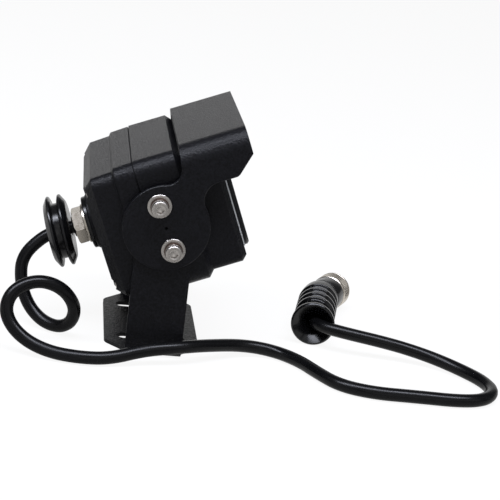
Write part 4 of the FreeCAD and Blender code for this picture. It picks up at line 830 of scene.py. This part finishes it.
def patchy(tree, place, scale, low, high):
    """Soft patches of light and shade, between two levels."""
    noise = add(tree, "ShaderNodeTexNoise", {"Vector": place, "Scale": scale, "Detail": 1.0})
    return add(tree, "ShaderNodeMapRange", {"Value": noise.outputs["Fac"], "From Min": 0.4, "From Max": 0.6,
                                            "To Min": low, "To Max": high}).outputs[0]


# brightness in reflections of the near side, of the dark gap beside the backdrop, and of the backdrop
NEAR_LEVEL, GAP_LEVEL, BACKDROP_LEVEL = 0.55, 0.1, 0.95
# brightness of the room where it lights the object
FILL = 0.2
# how much of the floor is an even glow to the eye; the rest is lit chalk, which takes the shadow
EYE_GLOW = 0.92
floor_paint = bpy.data.materials.new("pale_floor")
floor_paint.use_nodes = True
paint = floor_paint.node_tree
paint.nodes.clear()
direct, by_eye = seen_directly(paint)
# in reflections the floor is dimmer on the viewer's side than beyond the object
floor_spot = add(paint, "ShaderNodeTexCoord").outputs["Object"]
beyond = add(paint, "ShaderNodeSeparateXYZ", {"Vector": floor_spot})
far_side = add(paint, "ShaderNodeMapRange", {"Value": beyond.outputs["X"], "From Min": -0.1, "From Max": 0.0,
                                             "To Min": NEAR_LEVEL, "To Max": 1.0})
patches = patchy(paint, floor_spot, 5.0, 0.5, 1.0)
uneven = add(paint, "ShaderNodeMath", {0: far_side.outputs[0], 1: patches}, operation="MULTIPLY")
pale = add(paint, "ShaderNodeMath", {0: uneven.outputs[0], 1: by_eye}, operation="MAXIMUM")
chalk = add(paint, "ShaderNodeBsdfDiffuse", {"Color": linear("#f2f2f2")})
glow = add(paint, "ShaderNodeEmission", {"Color": linear("#ffffff"), "Strength": pale.outputs[0]})
mirrored = add(paint, "ShaderNodeMath", {0: direct, 1: by_eye}, operation="SUBTRACT")
share = add(paint, "ShaderNodeMath", {0: by_eye, 1: EYE_GLOW, 2: mirrored.outputs[0]},
            operation="MULTIPLY_ADD")
blended = add(paint, "ShaderNodeMixShader", {0: share.outputs[0], 1: chalk.outputs[0], 2: glow.outputs[0]})
add(paint, "ShaderNodeOutputMaterial", {"Surface": blended.outputs[0]})
finish_with(floor, floor_paint)

room = bpy.data.worlds.new("studio")
scene.world = room
room.use_nodes = True
air = room.node_tree
air.nodes.clear()
direct, by_eye = seen_directly(air)
heading = add(air, "ShaderNodeTexCoord").outputs["Generated"]
# how far a direction points away from the viewer along the floor, from -1 to 1
away = add(air, "ShaderNodeVectorMath", {0: heading, 1: (0.99, -0.138, 0.0)}, operation="DOT_PRODUCT")
backdrop = add(air, "ShaderNodeMapRange", {"Value": away.outputs["Value"], "From Min": 0.80, "From Max": 0.93,
                                           "To Min": GAP_LEVEL, "To Max": BACKDROP_LEVEL})
near_side = add(air, "ShaderNodeMapRange", {"Value": away.outputs["Value"], "From Min": 0.3, "From Max": -0.6,
                                            "To Min": GAP_LEVEL, "To Max": NEAR_LEVEL})
# furniture and dark corners of the room, which give bright metal something to mirror
clutter = patchy(air, heading, 2.6, 0.25, 1.5)
uneven = add(air, "ShaderNodeMath", {0: near_side.outputs[0], 1: clutter}, operation="MULTIPLY")
reflected = add(air, "ShaderNodeMath", {0: backdrop.outputs[0], 1: uneven.outputs[0]}, operation="MAXIMUM")
either = add(air, "ShaderNodeMath", {0: reflected.outputs[0], 1: by_eye}, operation="MAXIMUM")
level_of_light = add(air, "ShaderNodeMix", {0: direct, 2: FILL, 3: either.outputs[0]}, data_type="FLOAT")
white = add(air, "ShaderNodeBackground", {"Color": linear("#ffffff"), "Strength": level_of_light.outputs[0]})
add(air, "ShaderNodeOutputWorld", {"Surface": white.outputs[0]})
